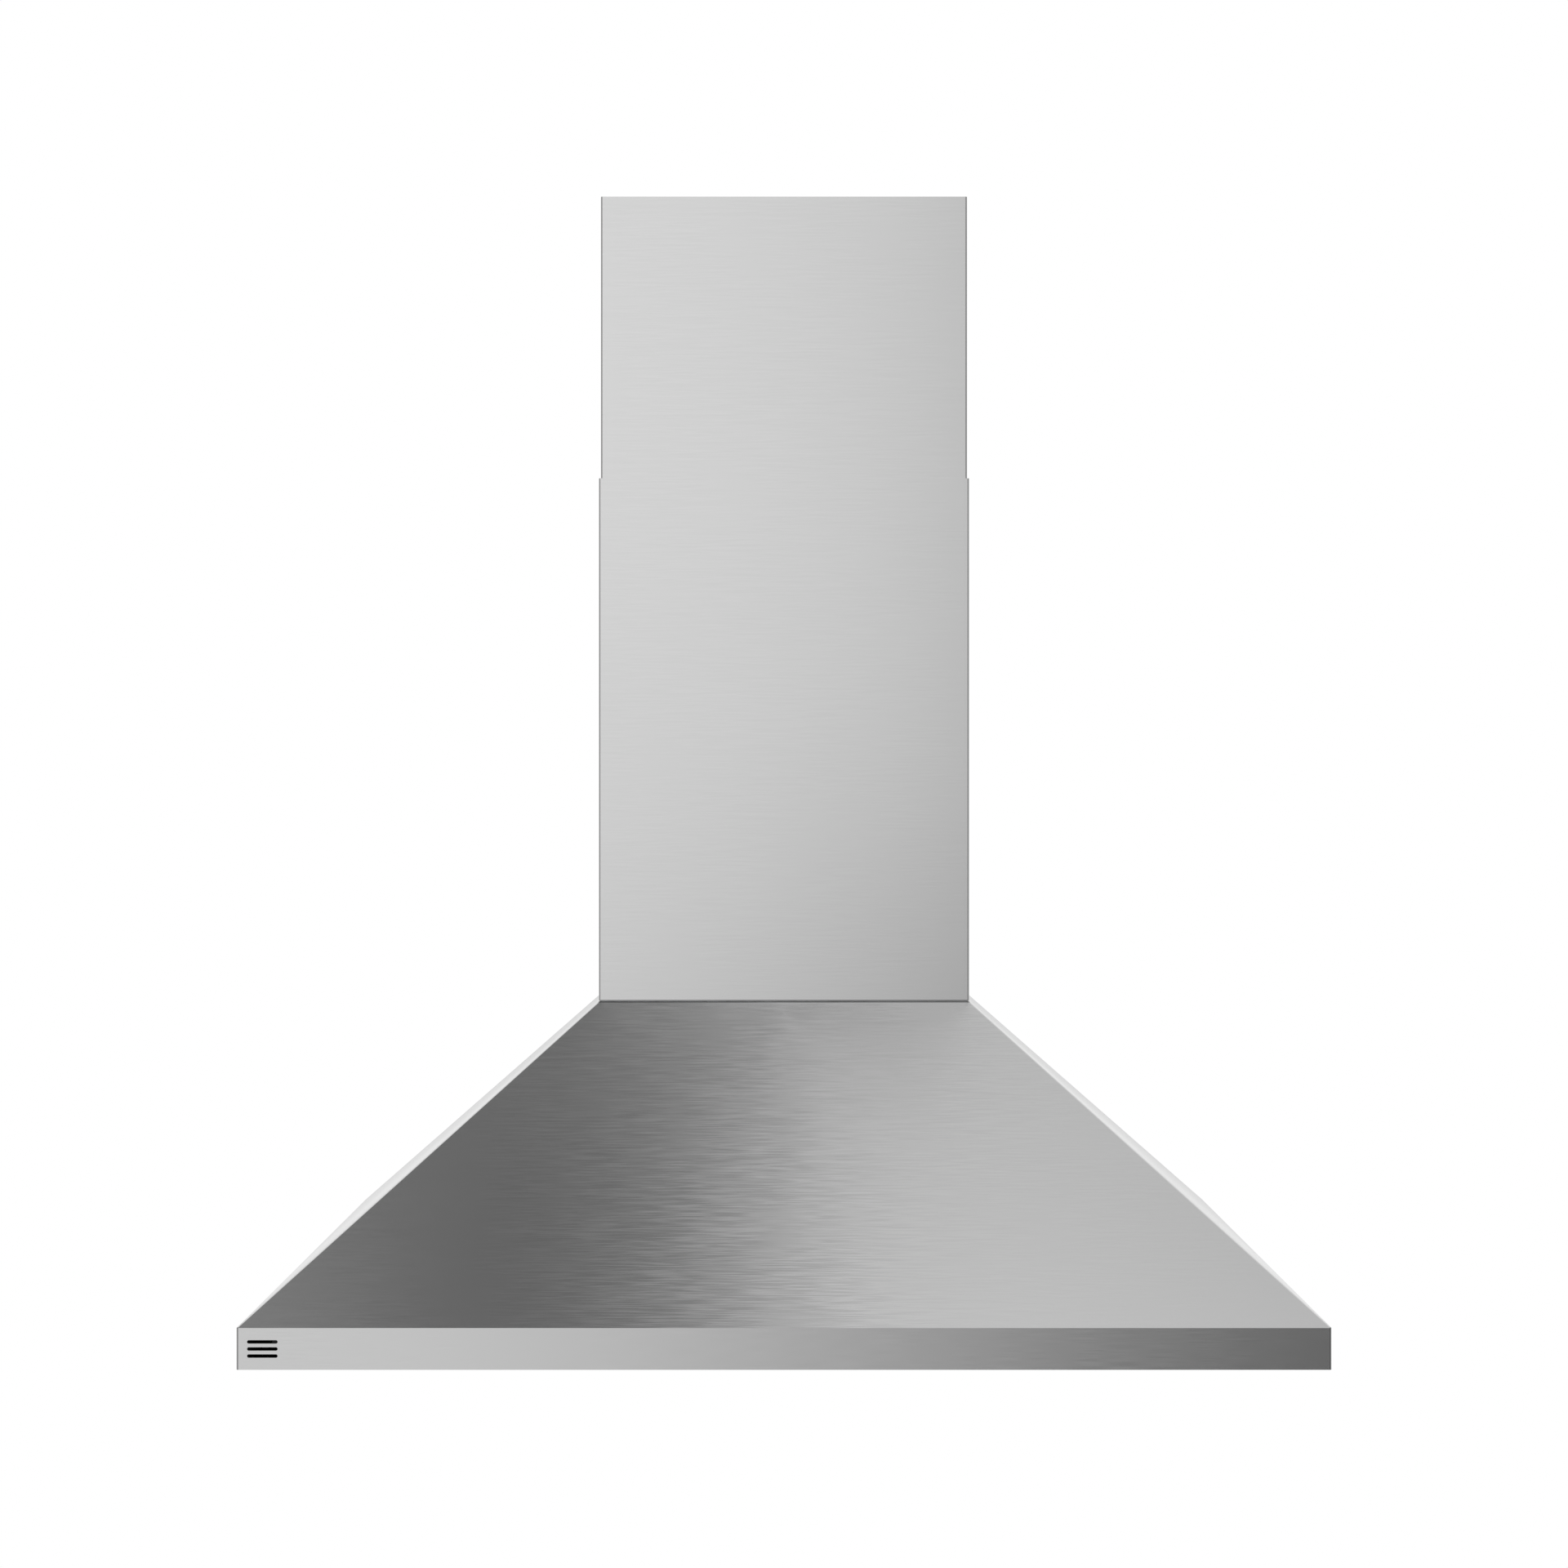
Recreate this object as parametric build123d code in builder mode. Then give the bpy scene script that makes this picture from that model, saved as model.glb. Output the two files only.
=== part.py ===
from build123d import *

import os
from math import cos, radians, sin

# Wall-mounted chimney range hood in folded steel sheet.
# Millimetres, +Z up. The wall is the plane y = 0 and the hood stands out of it towards -Y.
# x = 0 is the hood's middle and z = 0 is the bottom edge of its band.

os.makedirs("parts", exist_ok=True)

# ---------------------------------------------------------------- driving sizes

# sheet metal
SHEET = 1.0
BEND_RADIUS = 1.5  # outside radius of a fold
WELD_DRESSING = 0.8  # flat left where a welded corner is ground
FIT_GAP = 0.3  # between sheets that slip into each other
WELD_GAP = 0.2  # between sheets that are welded edge to face
SKIRT_GAP = 0.1  # between sheets that lie on each other
SLIDE_GAP = 0.5  # between the telescoping covers

# canopy
HOOD_WIDTH = 759.0
HOOD_DEPTH = 500.0
BAND_HEIGHT = 29.0
CANOPY_RISE = 202.0
LIP_WIDTH = 15.0  # bottom edge of the band, turned inwards
SEAT_FLANGE = 13.0  # top edge of the canopy, turned inwards under the chimney

# vent slots in the band
SLOT_LENGTH = 21.2
SLOT_HEIGHT = 2.4
SLOT_PITCH = 4.9
SLOT_COUNT = 3
SLOT_INSET = 7.4  # from the band's left face to the slots

# chimney covers
CHIMNEY_WIDTH = 298.0
CHIMNEY_DEPTH = 240.0
LOWER_COVER_HEIGHT = 420.4
COVER_FOOT_GAP = 0.6  # between the lower cover's foot and the canopy
UPPER_COVER_HEIGHT = 400.0
UPPER_COVER_SHOWN = 227.0
RETURN_FLANGE = 12.0  # rear edges of a cover, turned inwards
TRAY_WALL = 21.0
CABLE_HOLE_RADIUS = 9.0
CABLE_HOLE_SETBACK = 60.0  # from the wall

# wall bracket of the upper cover
BRACKET_SHEET = 1.2
BRACKET_HEIGHT = 25.0
BRACKET_DROP = 10.0  # from the upper cover's top
BRACKET_EAR = 28.0
BRACKET_HOLE_SPACING = 200.0
BRACKET_HOLE_RADIUS = 3.0
BRACKET_NOTCH_GAP = 2.0

# wall fixings of the canopy
KEYHOLE_SPACING = 340.0
KEYHOLE_Z = 120.0
KEYHOLE_HEAD_RADIUS = 6.5
KEYHOLE_NECK_RADIUS = 3.2
KEYHOLE_RISE = 13.0
HANGER_SHEET = 2.0
HANGER_WIDTH = 54.0
HANGER_HEIGHT = 60.0
SAFETY_HOLE_SPACING = 520.0
SAFETY_HOLE_Z = 42.0
SAFETY_HOLE_RADIUS = 3.5

# under panel
RECESS_DEPTH = 15.0  # from the band's bottom edge up to the under panel
SKIRT_FLANGE = 9.0

# filters
FILTER_SIDE_MARGIN = 43.5  # from the band's side to a filter
FILTER_REAR_MARGIN = 50.0
FILTER_SPACING = 12.0  # between the two filters
FRONT_ZONE = 130.0  # under panel in front of the filters
FILTER_THICKNESS = 10.0
FILTER_TOP_GAP = 0.5
FILTER_WALL = 0.8
FRAME_FLANGE = 14.0
FRAME_FRONT_FLANGE = 40.0
OPENING_LAP = 12.0  # under panel over the filter's sides and front
OPENING_REAR_LAP = 20.0
BAFFLE_PITCH = 40.0
BAFFLE_WIDTH = 27.0
BAFFLE_COUNT = 8
BAFFLE_HEIGHT = 5.0
BAFFLE_SHEET = 0.8
BAFFLE_LAP = 6.0  # baffle ends inside the frame's front flange

# filter hooks and latches
HOOK_SHEET = 1.2
HOOK_WIDTH = 26.0
HOOK_REACH = 9.0
HOOK_BEND = 1.0  # inside radius, centred on the edge that it hooks over
HOOK_SPACING = 200.0
HOOK_SLOT_LENGTH = 34.0
HOOK_SLOT_WIDTH = 5.2
LATCH_WIDTH = 26.0
LATCH_LENGTH = 20.0
LATCH_INSET = 4.0
LATCH_TRAVEL = 6.0
LATCH_LAP = 4.5  # nose over the edge of the under panel
LATCH_NOSE_WIDTH = 16.0
LATCH_NOSE_GAP = 0.4
LATCH_NOSE_HEIGHT = 1.4
LATCH_STEM = 4.0
LATCH_STEM_GAP = 1.0  # from the under panel's edge
LATCH_PAD_INSET = 4.0
LATCH_PAD_WIDTH = 21.0
LATCH_PAD_LENGTH = 12.0
LATCH_PAD_DROP = 1.4  # below the filter's underside
SPRING_LEAF = 0.5
SPRING_WIDTH = 16.0
SPRING_HEIGHT = 5.0
SPRING_FOLDS = 4
SPRING_SEAT_GAP = 2.0  # from the spring's seat to the baffles

# lamps
LAMP_FRONT_MARGIN = 62.0
LAMP_FLANGE_RADIUS = 33.0
LAMP_BODY_RADIUS = 27.5
LAMP_WALL = 2.0
LENS_LEDGE = 2.0
LENS_DEPTH = 3.8  # from the flange's face to the ledge
LAMP_HEIGHT = 26.0
LAMP_FLANGE_HEIGHT = 1.6
LENS_THICKNESS = 3.0
LIGHT_BOARD_THICKNESS = 2.0
LIGHT_BOARD = 30.0
LIGHT_CHIP = 10.0
LIGHT_CHIP_HEIGHT = 0.8

# controls
CONTROL_INSET = 4.5  # from the band's inner face to the control box
CONTROL_LENGTH = 120.0
CONTROL_DEPTH = 60.0
CONTROL_TOP = 27.0
CONTROL_WALL = 2.0
CONTROL_FLANGE = 9.0
CONTROL_FLANGE_SHEET = 1.5
CONTROL_SLOT_SPREAD = 0.4  # of the box's window past the band's slots
POST_SIZE = 6.0
POST_INSET = 12.0
BEZEL_Z = 3.5
BEZEL_THICKNESS = 2.5
BEZEL_MARGIN = 3.0
BOARD_THICKNESS = 1.6
BOARD_Z = 14.0
BUTTON_PITCH = 18.0
BUTTON_LENGTH = 13.0
BUTTON_WIDTH = 9.0
BUTTON_CORNER = 1.2
BUTTON_FLANGE = 1.6
BUTTON_FLANGE_HEIGHT = 1.2
BUTTON_STEM = 4.0
BUTTON_TRAVEL = 2.0
BUTTON_PROUD = 2.7
BUTTON_FRONT = 36.0  # from the band's front face to the buttons' row
BUTTON_NAMES = ["light", "off", "low", "medium", "high"]
SWITCH_SIZE = 6.0
SWITCH_HEIGHT = 1.6
SWITCH_GAP = 0.4  # left under a switch by a button that is pushed home
BOARD_INSET = 8.0  # from the control box's outside
CONNECTOR_LENGTH = 24.0
CONNECTOR_WIDTH = 7.0
CONNECTOR_HEIGHT = 5.0

# blower
SCROLL_STEP = 8.0  # by which each quarter of the scroll is tighter than the one before
SCROLL_FRONT_GAP = 26.0  # from the chimney's front face
SCROLL_REAR_GAP = 14.0
SCROLL_FLOOR_GAP = 30.0  # above the under panel
SERVICE_ROOM = 84.0  # beside the blower, up to the chimney's side
TONGUE_ANGLE = 20.0
BLOWER_LIP = 9.0
TONGUE_GAP = 10.0  # between the scroll's tightest quarter and the wheel's radius
WHEEL_END_GAP = 5.0
BLADE_DEPTH = 10.0
BLADE_COUNT = 20
BLADE_SHEET = 1.0
BLADE_SWEEP = 4.5
BLADE_BEND = 0.8
RING_THICKNESS = 2.0
HUB_RADIUS = 12.0
HUB_LENGTH = 24.0
SHAFT_RADIUS = 4.0
SHAFT_GAP = 0.05
INLET_FLARE = 4.0
MOTOR_WHEEL_GAP = 18.0  # between the motor and the blades
MOTOR_LENGTH = 58.0
MOTOR_SHOULDER = 7.0  # sloped front edge of the shell
MOTOR_BOSS_RADIUS = 11.0
MOTOR_BOSS_LENGTH = 5.0
SPIDER_SHEET = 2.0
SPIDER_ARM = 14.0
SPIDER_ARMS = 3
SPIDER_LAP = 12.0  # of the arms over the inlet plate
SPIDER_HUB_MARGIN = 4.0
SPIDER_HUB_BORE = 14.0

# outlet
TAPER_HEIGHT = 68.0
CREASE_ANGLE = 15  # between the creases in the taper's corners, in degrees
COLLAR_RADIUS = 75.0
COLLAR_HEIGHT = 45.0
DAMPER_RISE = 22.0  # from the collar's foot to the damper's rod
DAMPER_ROD_RADIUS = 2.0
DAMPER_ROD_GAP = 0.1  # from the rod's ends to the collar
DAMPER_SHEET = 1.0
DAMPER_EDGE_GAP = 1.2
KNUCKLE_WALL = 1.1
KNUCKLE_GAP = 0.1
KNUCKLE_LENGTH = 24.0
KNUCKLE_PITCH = 28.0
KNUCKLE_COUNT = 4
KNUCKLE_SIDE_GAP = 0.4  # from one flap's plate to the other's knuckles

# wiring in the tray
JUNCTION_GAP = 13.0  # from the collar's side
JUNCTION_WALL_GAP = 8.5
JUNCTION_LENGTH = 95.0
JUNCTION_FRONT_GAP = 23.5
JUNCTION_HEIGHT = 43.0
JUNCTION_SHEET = 1.2
KNOCKOUT_RADIUS = 11.0
KNOCKOUT_NECK = 6.0
JUNCTION_TAB = 9.0
CAPACITOR_RADIUS = 15.0
CAPACITOR_HEIGHT = 50.0
CAPACITOR_SETBACK = 150.0  # from the wall

# ---------------------------------------------------------------- places that follow

HALF_WIDTH = HOOD_WIDTH / 2
HALF_CHIMNEY = CHIMNEY_WIDTH / 2
SEAT_Z = BAND_HEIGHT + CANOPY_RISE
TRAY_TOP = SEAT_Z + SHEET
LOWER_COVER_FOOT = SEAT_Z + COVER_FOOT_GAP
LOWER_COVER_TOP = LOWER_COVER_FOOT + LOWER_COVER_HEIGHT
UPPER_COVER_TOP = LOWER_COVER_TOP + UPPER_COVER_SHOWN
PANEL_TOP = RECESS_DEPTH + SHEET

# what stands inside the lower cover with the sliding gap round it
INNER_WIDTH = CHIMNEY_WIDTH - 2 * (SHEET + SLIDE_GAP)
INNER_DEPTH = CHIMNEY_DEPTH - 2 * (SHEET + SLIDE_GAP)
INNER_REAR_Y = -(SHEET + SLIDE_GAP)
BRACKET_WIDTH = INNER_WIDTH - 2 * (SHEET + FIT_GAP)
BRACKET_Z = UPPER_COVER_TOP - BRACKET_DROP - BRACKET_HEIGHT / 2

FILTER_WIDTH = (HOOD_WIDTH - 2 * FILTER_SIDE_MARGIN - FILTER_SPACING) / 2
FILTER_DEPTH = HOOD_DEPTH - FILTER_REAR_MARGIN - FRONT_ZONE
FILTER_X = (FILTER_WIDTH + FILTER_SPACING) / 2
FILTER_FRONT_Y = -(HOOD_DEPTH - FRONT_ZONE)
FILTER_REAR_Y = -FILTER_REAR_MARGIN
FILTER_TOP = RECESS_DEPTH - FILTER_TOP_GAP
FILTER_BOTTOM = FILTER_TOP - FILTER_THICKNESS
OPENING_FRONT_Y = FILTER_FRONT_Y + OPENING_LAP
OPENING_REAR_Y = FILTER_REAR_Y - OPENING_REAR_LAP
HOOK_EDGE_Y = FILTER_REAR_Y + HOOK_BEND  # edge of the under panel that the hooks go round
HOOK_EDGE_Z = RECESS_DEPTH + SHEET / 2
CAVITY_BOTTOM = FILTER_BOTTOM + FILTER_WALL
CAVITY_TOP = FILTER_TOP - FILTER_WALL
BAFFLE_FRONT_Y = FILTER_FRONT_Y + FRAME_FRONT_FLANGE - BAFFLE_LAP
BAFFLE_REAR_Y = FILTER_REAR_Y - FILTER_WALL - FIT_GAP
LATCH_FRONT_Y = FILTER_FRONT_Y + LATCH_INSET
LATCH_REAR_Y = LATCH_FRONT_Y + LATCH_LENGTH
LATCH_STEM_Y = OPENING_FRONT_Y + LATCH_STEM_GAP
LATCH_PAD_Y = LATCH_FRONT_Y + LATCH_PAD_INSET
SPRING_SEAT_Y = BAFFLE_FRONT_Y - SPRING_SEAT_GAP
SIDES = [("left", -1), ("right", 1)]

SCROLL_FRONT_Y = -(CHIMNEY_DEPTH - SCROLL_FRONT_GAP)
SCROLL_TOP = SEAT_Z - SHEET
# the largest scroll for the room below the chimney, in depth and in height
SCROLL_RADIUS = min(
    (CHIMNEY_DEPTH - SCROLL_FRONT_GAP - SCROLL_REAR_GAP + SCROLL_STEP) / 2,
    (SCROLL_TOP - PANEL_TOP - SCROLL_FLOOR_GAP + 3 * SCROLL_STEP) / 2,
)
WHEEL_Y = SCROLL_FRONT_Y + SCROLL_RADIUS + SCROLL_STEP / 2
WHEEL_Z = SCROLL_TOP - (SCROLL_RADIUS - 2 * SCROLL_STEP) + SCROLL_STEP / 2
SCROLL_HALF = HALF_CHIMNEY - SERVICE_ROOM
PLATE_FACE = SCROLL_HALF + SHEET
WHEEL_RADIUS = SCROLL_RADIUS - 3 * SCROLL_STEP - TONGUE_GAP
WHEEL_BORE = WHEEL_RADIUS - BLADE_DEPTH
WHEEL_HALF = SCROLL_HALF - WHEEL_END_GAP
INLET_RADIUS = WHEEL_BORE + INLET_FLARE
MOTOR_RADIUS = WHEEL_BORE - MOTOR_WHEEL_GAP
MOTOR_FRONT_X = PLATE_FACE - MOTOR_LENGTH
TONGUE_REACH = (SCROLL_RADIUS - 3 * SCROLL_STEP) * sin(radians(TONGUE_ANGLE))
TONGUE_Y = WHEEL_Y + SCROLL_STEP / 2 - TONGUE_REACH
OUTLET_Y = (SCROLL_FRONT_Y + TONGUE_Y) / 2
OUTLET_DEPTH = TONGUE_Y - SCROLL_FRONT_Y
SIDE_LIP_X = SCROLL_HALF + (SHEET + BLOWER_LIP) / 2

COLLAR_Y = -CHIMNEY_DEPTH / 2
COLLAR_Z = TRAY_TOP + TAPER_HEIGHT
COLLAR_BORE = COLLAR_RADIUS - SHEET
DAMPER_Z = COLLAR_Z + DAMPER_RISE
SERVICE_X = (COLLAR_RADIUS + INNER_WIDTH / 2 - SHEET) / 2  # middle of the room beside the collar

CONTROL_LEFT = -(HALF_WIDTH - SHEET - CONTROL_INSET)
CONTROL_FRONT_Y = -(HOOD_DEPTH - SHEET - FIT_GAP)
BEZEL_TOP = BEZEL_Z + BEZEL_THICKNESS


# ---------------------------------------------------------------- shared shapes


def canopy_front_view(inset, foot):
    """Canopy seen from the front, moved in by inset, with its foot at a given height."""
    with BuildSketch() as view:
        with BuildLine():
            Polyline(
                (HALF_WIDTH, foot - inset),
                (HALF_WIDTH, BAND_HEIGHT),
                (HALF_CHIMNEY, SEAT_Z),
                (-HALF_CHIMNEY, SEAT_Z),
                (-HALF_WIDTH, BAND_HEIGHT),
                (-HALF_WIDTH, foot - inset),
                close=True,
            )
        make_face()
        if inset > 0:
            offset(amount=-inset, kind=Kind.INTERSECTION)
    return view.sketch


def canopy_side_view(inset, foot, rear):
    """Canopy seen from the right, moved in by inset, from the front face to y = rear."""
    with BuildSketch() as view:
        with BuildLine():
            Polyline(
                (-HOOD_DEPTH, foot - inset),
                (rear + inset, foot - inset),
                (rear + inset, SEAT_Z),
                (-CHIMNEY_DEPTH, SEAT_Z),
                (-HOOD_DEPTH, BAND_HEIGHT),
                close=True,
            )
        make_face()
        if inset > 0:
            offset(amount=-inset, kind=Kind.INTERSECTION)
    return view.sketch


def canopy_volume(inset, foot, rear):
    """Solid that both views of the canopy have in common."""
    with BuildPart() as volume:
        with BuildSketch(Plane.XZ):
            add(canopy_front_view(inset, foot))
        extrude(amount=HOOD_DEPTH, both=True)
        with BuildSketch(Plane.YZ):
            add(canopy_side_view(inset, foot, rear))
        extrude(amount=HALF_WIDTH, both=True, mode=Mode.INTERSECT)
    return volume.part


def vent_slots():
    """The band's row of slots, seen from the front."""
    with BuildSketch() as slots:
        with Locations((-HALF_WIDTH + SLOT_INSET + SLOT_LENGTH / 2, BAND_HEIGHT / 2)):
            with GridLocations(0, SLOT_PITCH, 1, SLOT_COUNT):
                SlotOverall(SLOT_LENGTH, SLOT_HEIGHT)
    return slots.sketch


def keyhole(centre_x):
    """Keyhole seen from the front: the screw's head goes in below and the neck hangs on it."""
    with BuildSketch() as hole:
        with Locations((centre_x, KEYHOLE_Z)):
            Circle(KEYHOLE_HEAD_RADIUS)
        with Locations((centre_x, KEYHOLE_Z + KEYHOLE_RISE / 2)):
            SlotCenterToCenter(KEYHOLE_RISE, 2 * KEYHOLE_NECK_RADIUS, rotation=90)
    return hole.sketch


def cover_section(width, depth, rear):
    """Plan of a chimney cover: a channel with its rear edges turned inwards."""
    with BuildSketch() as section:
        with Locations((0, rear)):
            Rectangle(width, depth, align=(Align.CENTER, Align.MAX))
        fillet(section.vertices(), BEND_RADIUS)
        with Locations((0, rear - depth / 2)):
            Rectangle(width - 2 * SHEET, depth - 2 * SHEET, mode=Mode.SUBTRACT)
        with Locations((0, rear)):
            Rectangle(width - 2 * (SHEET + RETURN_FLANGE), 2 * BEND_RADIUS, mode=Mode.SUBTRACT)
    return section.sketch


def hook_outline():
    """Filter hook seen from the right: up behind the panel's edge, round it and back over it."""
    inner_y = HOOK_EDGE_Y - HOOK_BEND
    outer_y = inner_y - HOOK_SHEET
    lower_z = HOOK_EDGE_Z + HOOK_BEND
    upper_z = lower_z + HOOK_SHEET
    tip_y = HOOK_EDGE_Y + HOOK_REACH
    edge = (HOOK_EDGE_Y, HOOK_EDGE_Z)
    with BuildSketch() as outline:
        with BuildLine():
            Line((inner_y, CAVITY_TOP), (inner_y, HOOK_EDGE_Z))
            CenterArc(edge, HOOK_BEND, 180, -90)
            Polyline(
                (HOOK_EDGE_Y, lower_z), (tip_y, lower_z), (tip_y, upper_z), (HOOK_EDGE_Y, upper_z)
            )
            CenterArc(edge, HOOK_BEND + HOOK_SHEET, 90, 90)
            Polyline((outer_y, HOOK_EDGE_Z), (outer_y, CAVITY_TOP), (inner_y, CAVITY_TOP))
        make_face()
    return outline.sketch


def baffle_section(upwards):
    """End view of a baffle: a channel open upwards or downwards, with its web at the origin."""
    edge = Align.MIN if upwards else Align.MAX
    web = BAFFLE_SHEET if upwards else -BAFFLE_SHEET
    with BuildSketch() as section:
        Rectangle(BAFFLE_WIDTH, BAFFLE_HEIGHT, align=(Align.CENTER, edge))
        chamfer(section.vertices().group_by(Axis.Y)[0 if upwards else -1], BAFFLE_SHEET / 2)
        with Locations((0, web)):
            Rectangle(
                BAFFLE_WIDTH - 2 * BAFFLE_SHEET,
                BAFFLE_HEIGHT,
                align=(Align.CENTER, edge),
                mode=Mode.SUBTRACT,
            )
    return section.sketch


def button_outline(spread):
    """Button face with its corners cut off, larger by spread all round."""
    with BuildSketch() as outline:
        Rectangle(BUTTON_LENGTH + 2 * spread, BUTTON_WIDTH + 2 * spread)
        chamfer(outline.vertices(), BUTTON_CORNER)
    return outline.sketch


def scroll_profile(inset, top):
    """Scroll seen from its side: four arcs, each tighter than the last, and the outlet."""
    near_y = WHEEL_Y - SCROLL_STEP / 2
    far_y = WHEEL_Y + SCROLL_STEP / 2
    low_z = WHEEL_Z - SCROLL_STEP / 2
    high_z = WHEEL_Z + SCROLL_STEP / 2
    centres = [(near_y, high_z), (near_y, low_z), (far_y, low_z), (far_y, high_z)]
    turns = [90, 90, 90, TONGUE_ANGLE]
    outlet_corner = (SCROLL_FRONT_Y, top + inset)
    with BuildSketch() as profile:
        with BuildLine():
            Line(outlet_corner, (SCROLL_FRONT_Y, high_z))
            for quarter, (centre, turn) in enumerate(zip(centres, turns)):
                radius = SCROLL_RADIUS - quarter * SCROLL_STEP
                arc = CenterArc(centre, radius, 180 + 90 * quarter, turn)
            throat = Line(arc @ 1, ((arc @ 1).X, top + inset))
            Line(throat @ 1, outlet_corner)
        make_face()
        if inset > 0:
            offset(amount=-inset)
    return profile.sketch


def wheel_plane(x):
    """Plane across the wheel's axis, centred on it, with its local X along +Y."""
    return Plane(origin=(x, WHEEL_Y, WHEEL_Z), x_dir=(0, 1, 0), z_dir=(1, 0, 0))


# ---------------------------------------------------------------- canopy

REAR_LIP_LENGTH = HOOD_WIDTH - 2 * (LIP_WIDTH + WELD_GAP)

hollow = canopy_volume(SHEET, SHEET, 2 * SHEET)
with BuildPart() as canopy_shell:
    with BuildSketch(Plane.XZ):
        add(canopy_front_view(0, 0))
    extrude(amount=HOOD_DEPTH)
    with BuildSketch(Plane.YZ):
        add(canopy_side_view(0, 0, 0))
    extrude(amount=HALF_WIDTH, both=True, mode=Mode.INTERSECT)
    # the band's corners and the hips are welded and dressed
    corners = canopy_shell.edges().filter_by(
        lambda edge: abs(edge.tangent_at(0.5).Z) > 0.3 and edge.center().Y < -CHIMNEY_DEPTH
    )
    chamfer(corners, WELD_DRESSING)
    add(hollow, mode=Mode.SUBTRACT)
    # mouth inside the lip
    with BuildSketch(Plane.XY):
        with Locations((0, 2 * SHEET)):
            Rectangle(
                HOOD_WIDTH - 2 * LIP_WIDTH,
                HOOD_DEPTH - LIP_WIDTH + 2 * SHEET,
                align=(Align.CENTER, Align.MAX),
            )
    extrude(amount=2 * SHEET, both=True, mode=Mode.SUBTRACT)
    # opening inside the seat of the chimney
    with BuildSketch(Plane.XY.offset(SEAT_Z)):
        with Locations((0, COLLAR_Y)):
            Rectangle(CHIMNEY_WIDTH - 2 * SEAT_FLANGE, CHIMNEY_DEPTH - 2 * SEAT_FLANGE)
    extrude(amount=2 * SHEET, both=True, mode=Mode.SUBTRACT)
    with BuildSketch(Plane.XZ.offset(HOOD_DEPTH)):
        add(vent_slots())
    extrude(amount=2 * SHEET, both=True, mode=Mode.SUBTRACT)
canopy_shell.part.label = "canopy_shell"
export_step(canopy_shell.part, "parts/canopy_shell.step")

with BuildPart() as rear_panel:
    with BuildSketch(Plane.XZ):
        add(canopy_front_view(SHEET + WELD_GAP, SHEET + WELD_GAP))
        # between the ends of the band's lip the sheet goes down to the bottom edge
        Rectangle(REAR_LIP_LENGTH, BAND_HEIGHT, align=(Align.CENTER, Align.MIN))
    extrude(amount=SHEET)
    # and its foot is turned forwards, level with the band's lip
    with BuildSketch(Plane.XY):
        Rectangle(REAR_LIP_LENGTH, LIP_WIDTH, align=(Align.CENTER, Align.MAX))
    extrude(amount=SHEET)
    with BuildSketch(Plane.XZ):
        for side, sign in SIDES:
            add(keyhole(sign * KEYHOLE_SPACING / 2))
        with Locations((0, SAFETY_HOLE_Z)):
            with GridLocations(SAFETY_HOLE_SPACING, 0, 2, 1):
                Circle(SAFETY_HOLE_RADIUS)
    extrude(amount=SHEET, mode=Mode.SUBTRACT)
rear_panel.part.label = "rear_panel"
export_step(rear_panel.part, "parts/rear_panel.step")

with BuildPart() as hanger_plates:
    with BuildSketch(Plane.XZ.offset(SHEET)):
        with Locations((0, KEYHOLE_Z + KEYHOLE_RISE / 2)):
            with GridLocations(KEYHOLE_SPACING, 0, 2, 1):
                Rectangle(HANGER_WIDTH, HANGER_HEIGHT)
        for side, sign in SIDES:
            add(keyhole(sign * KEYHOLE_SPACING / 2), mode=Mode.SUBTRACT)
    extrude(amount=HANGER_SHEET)
hanger_plates.part.label = "hanger_plates"
export_step(hanger_plates.part, "parts/hanger_plates.step")

# ---------------------------------------------------------------- under panel

PANEL_INSET = SHEET + FIT_GAP
PANEL_WIDTH = HOOD_WIDTH - 2 * PANEL_INSET
PANEL_DEPTH = HOOD_DEPTH - 2 * PANEL_INSET
SKIRT_FOOT = SHEET + SKIRT_GAP
LAMP_Y = -(HOOD_DEPTH - LAMP_FRONT_MARGIN)
CONTROL_MIDDLE = (CONTROL_LEFT + CONTROL_LENGTH / 2, CONTROL_FRONT_Y + CONTROL_DEPTH / 2)

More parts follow.
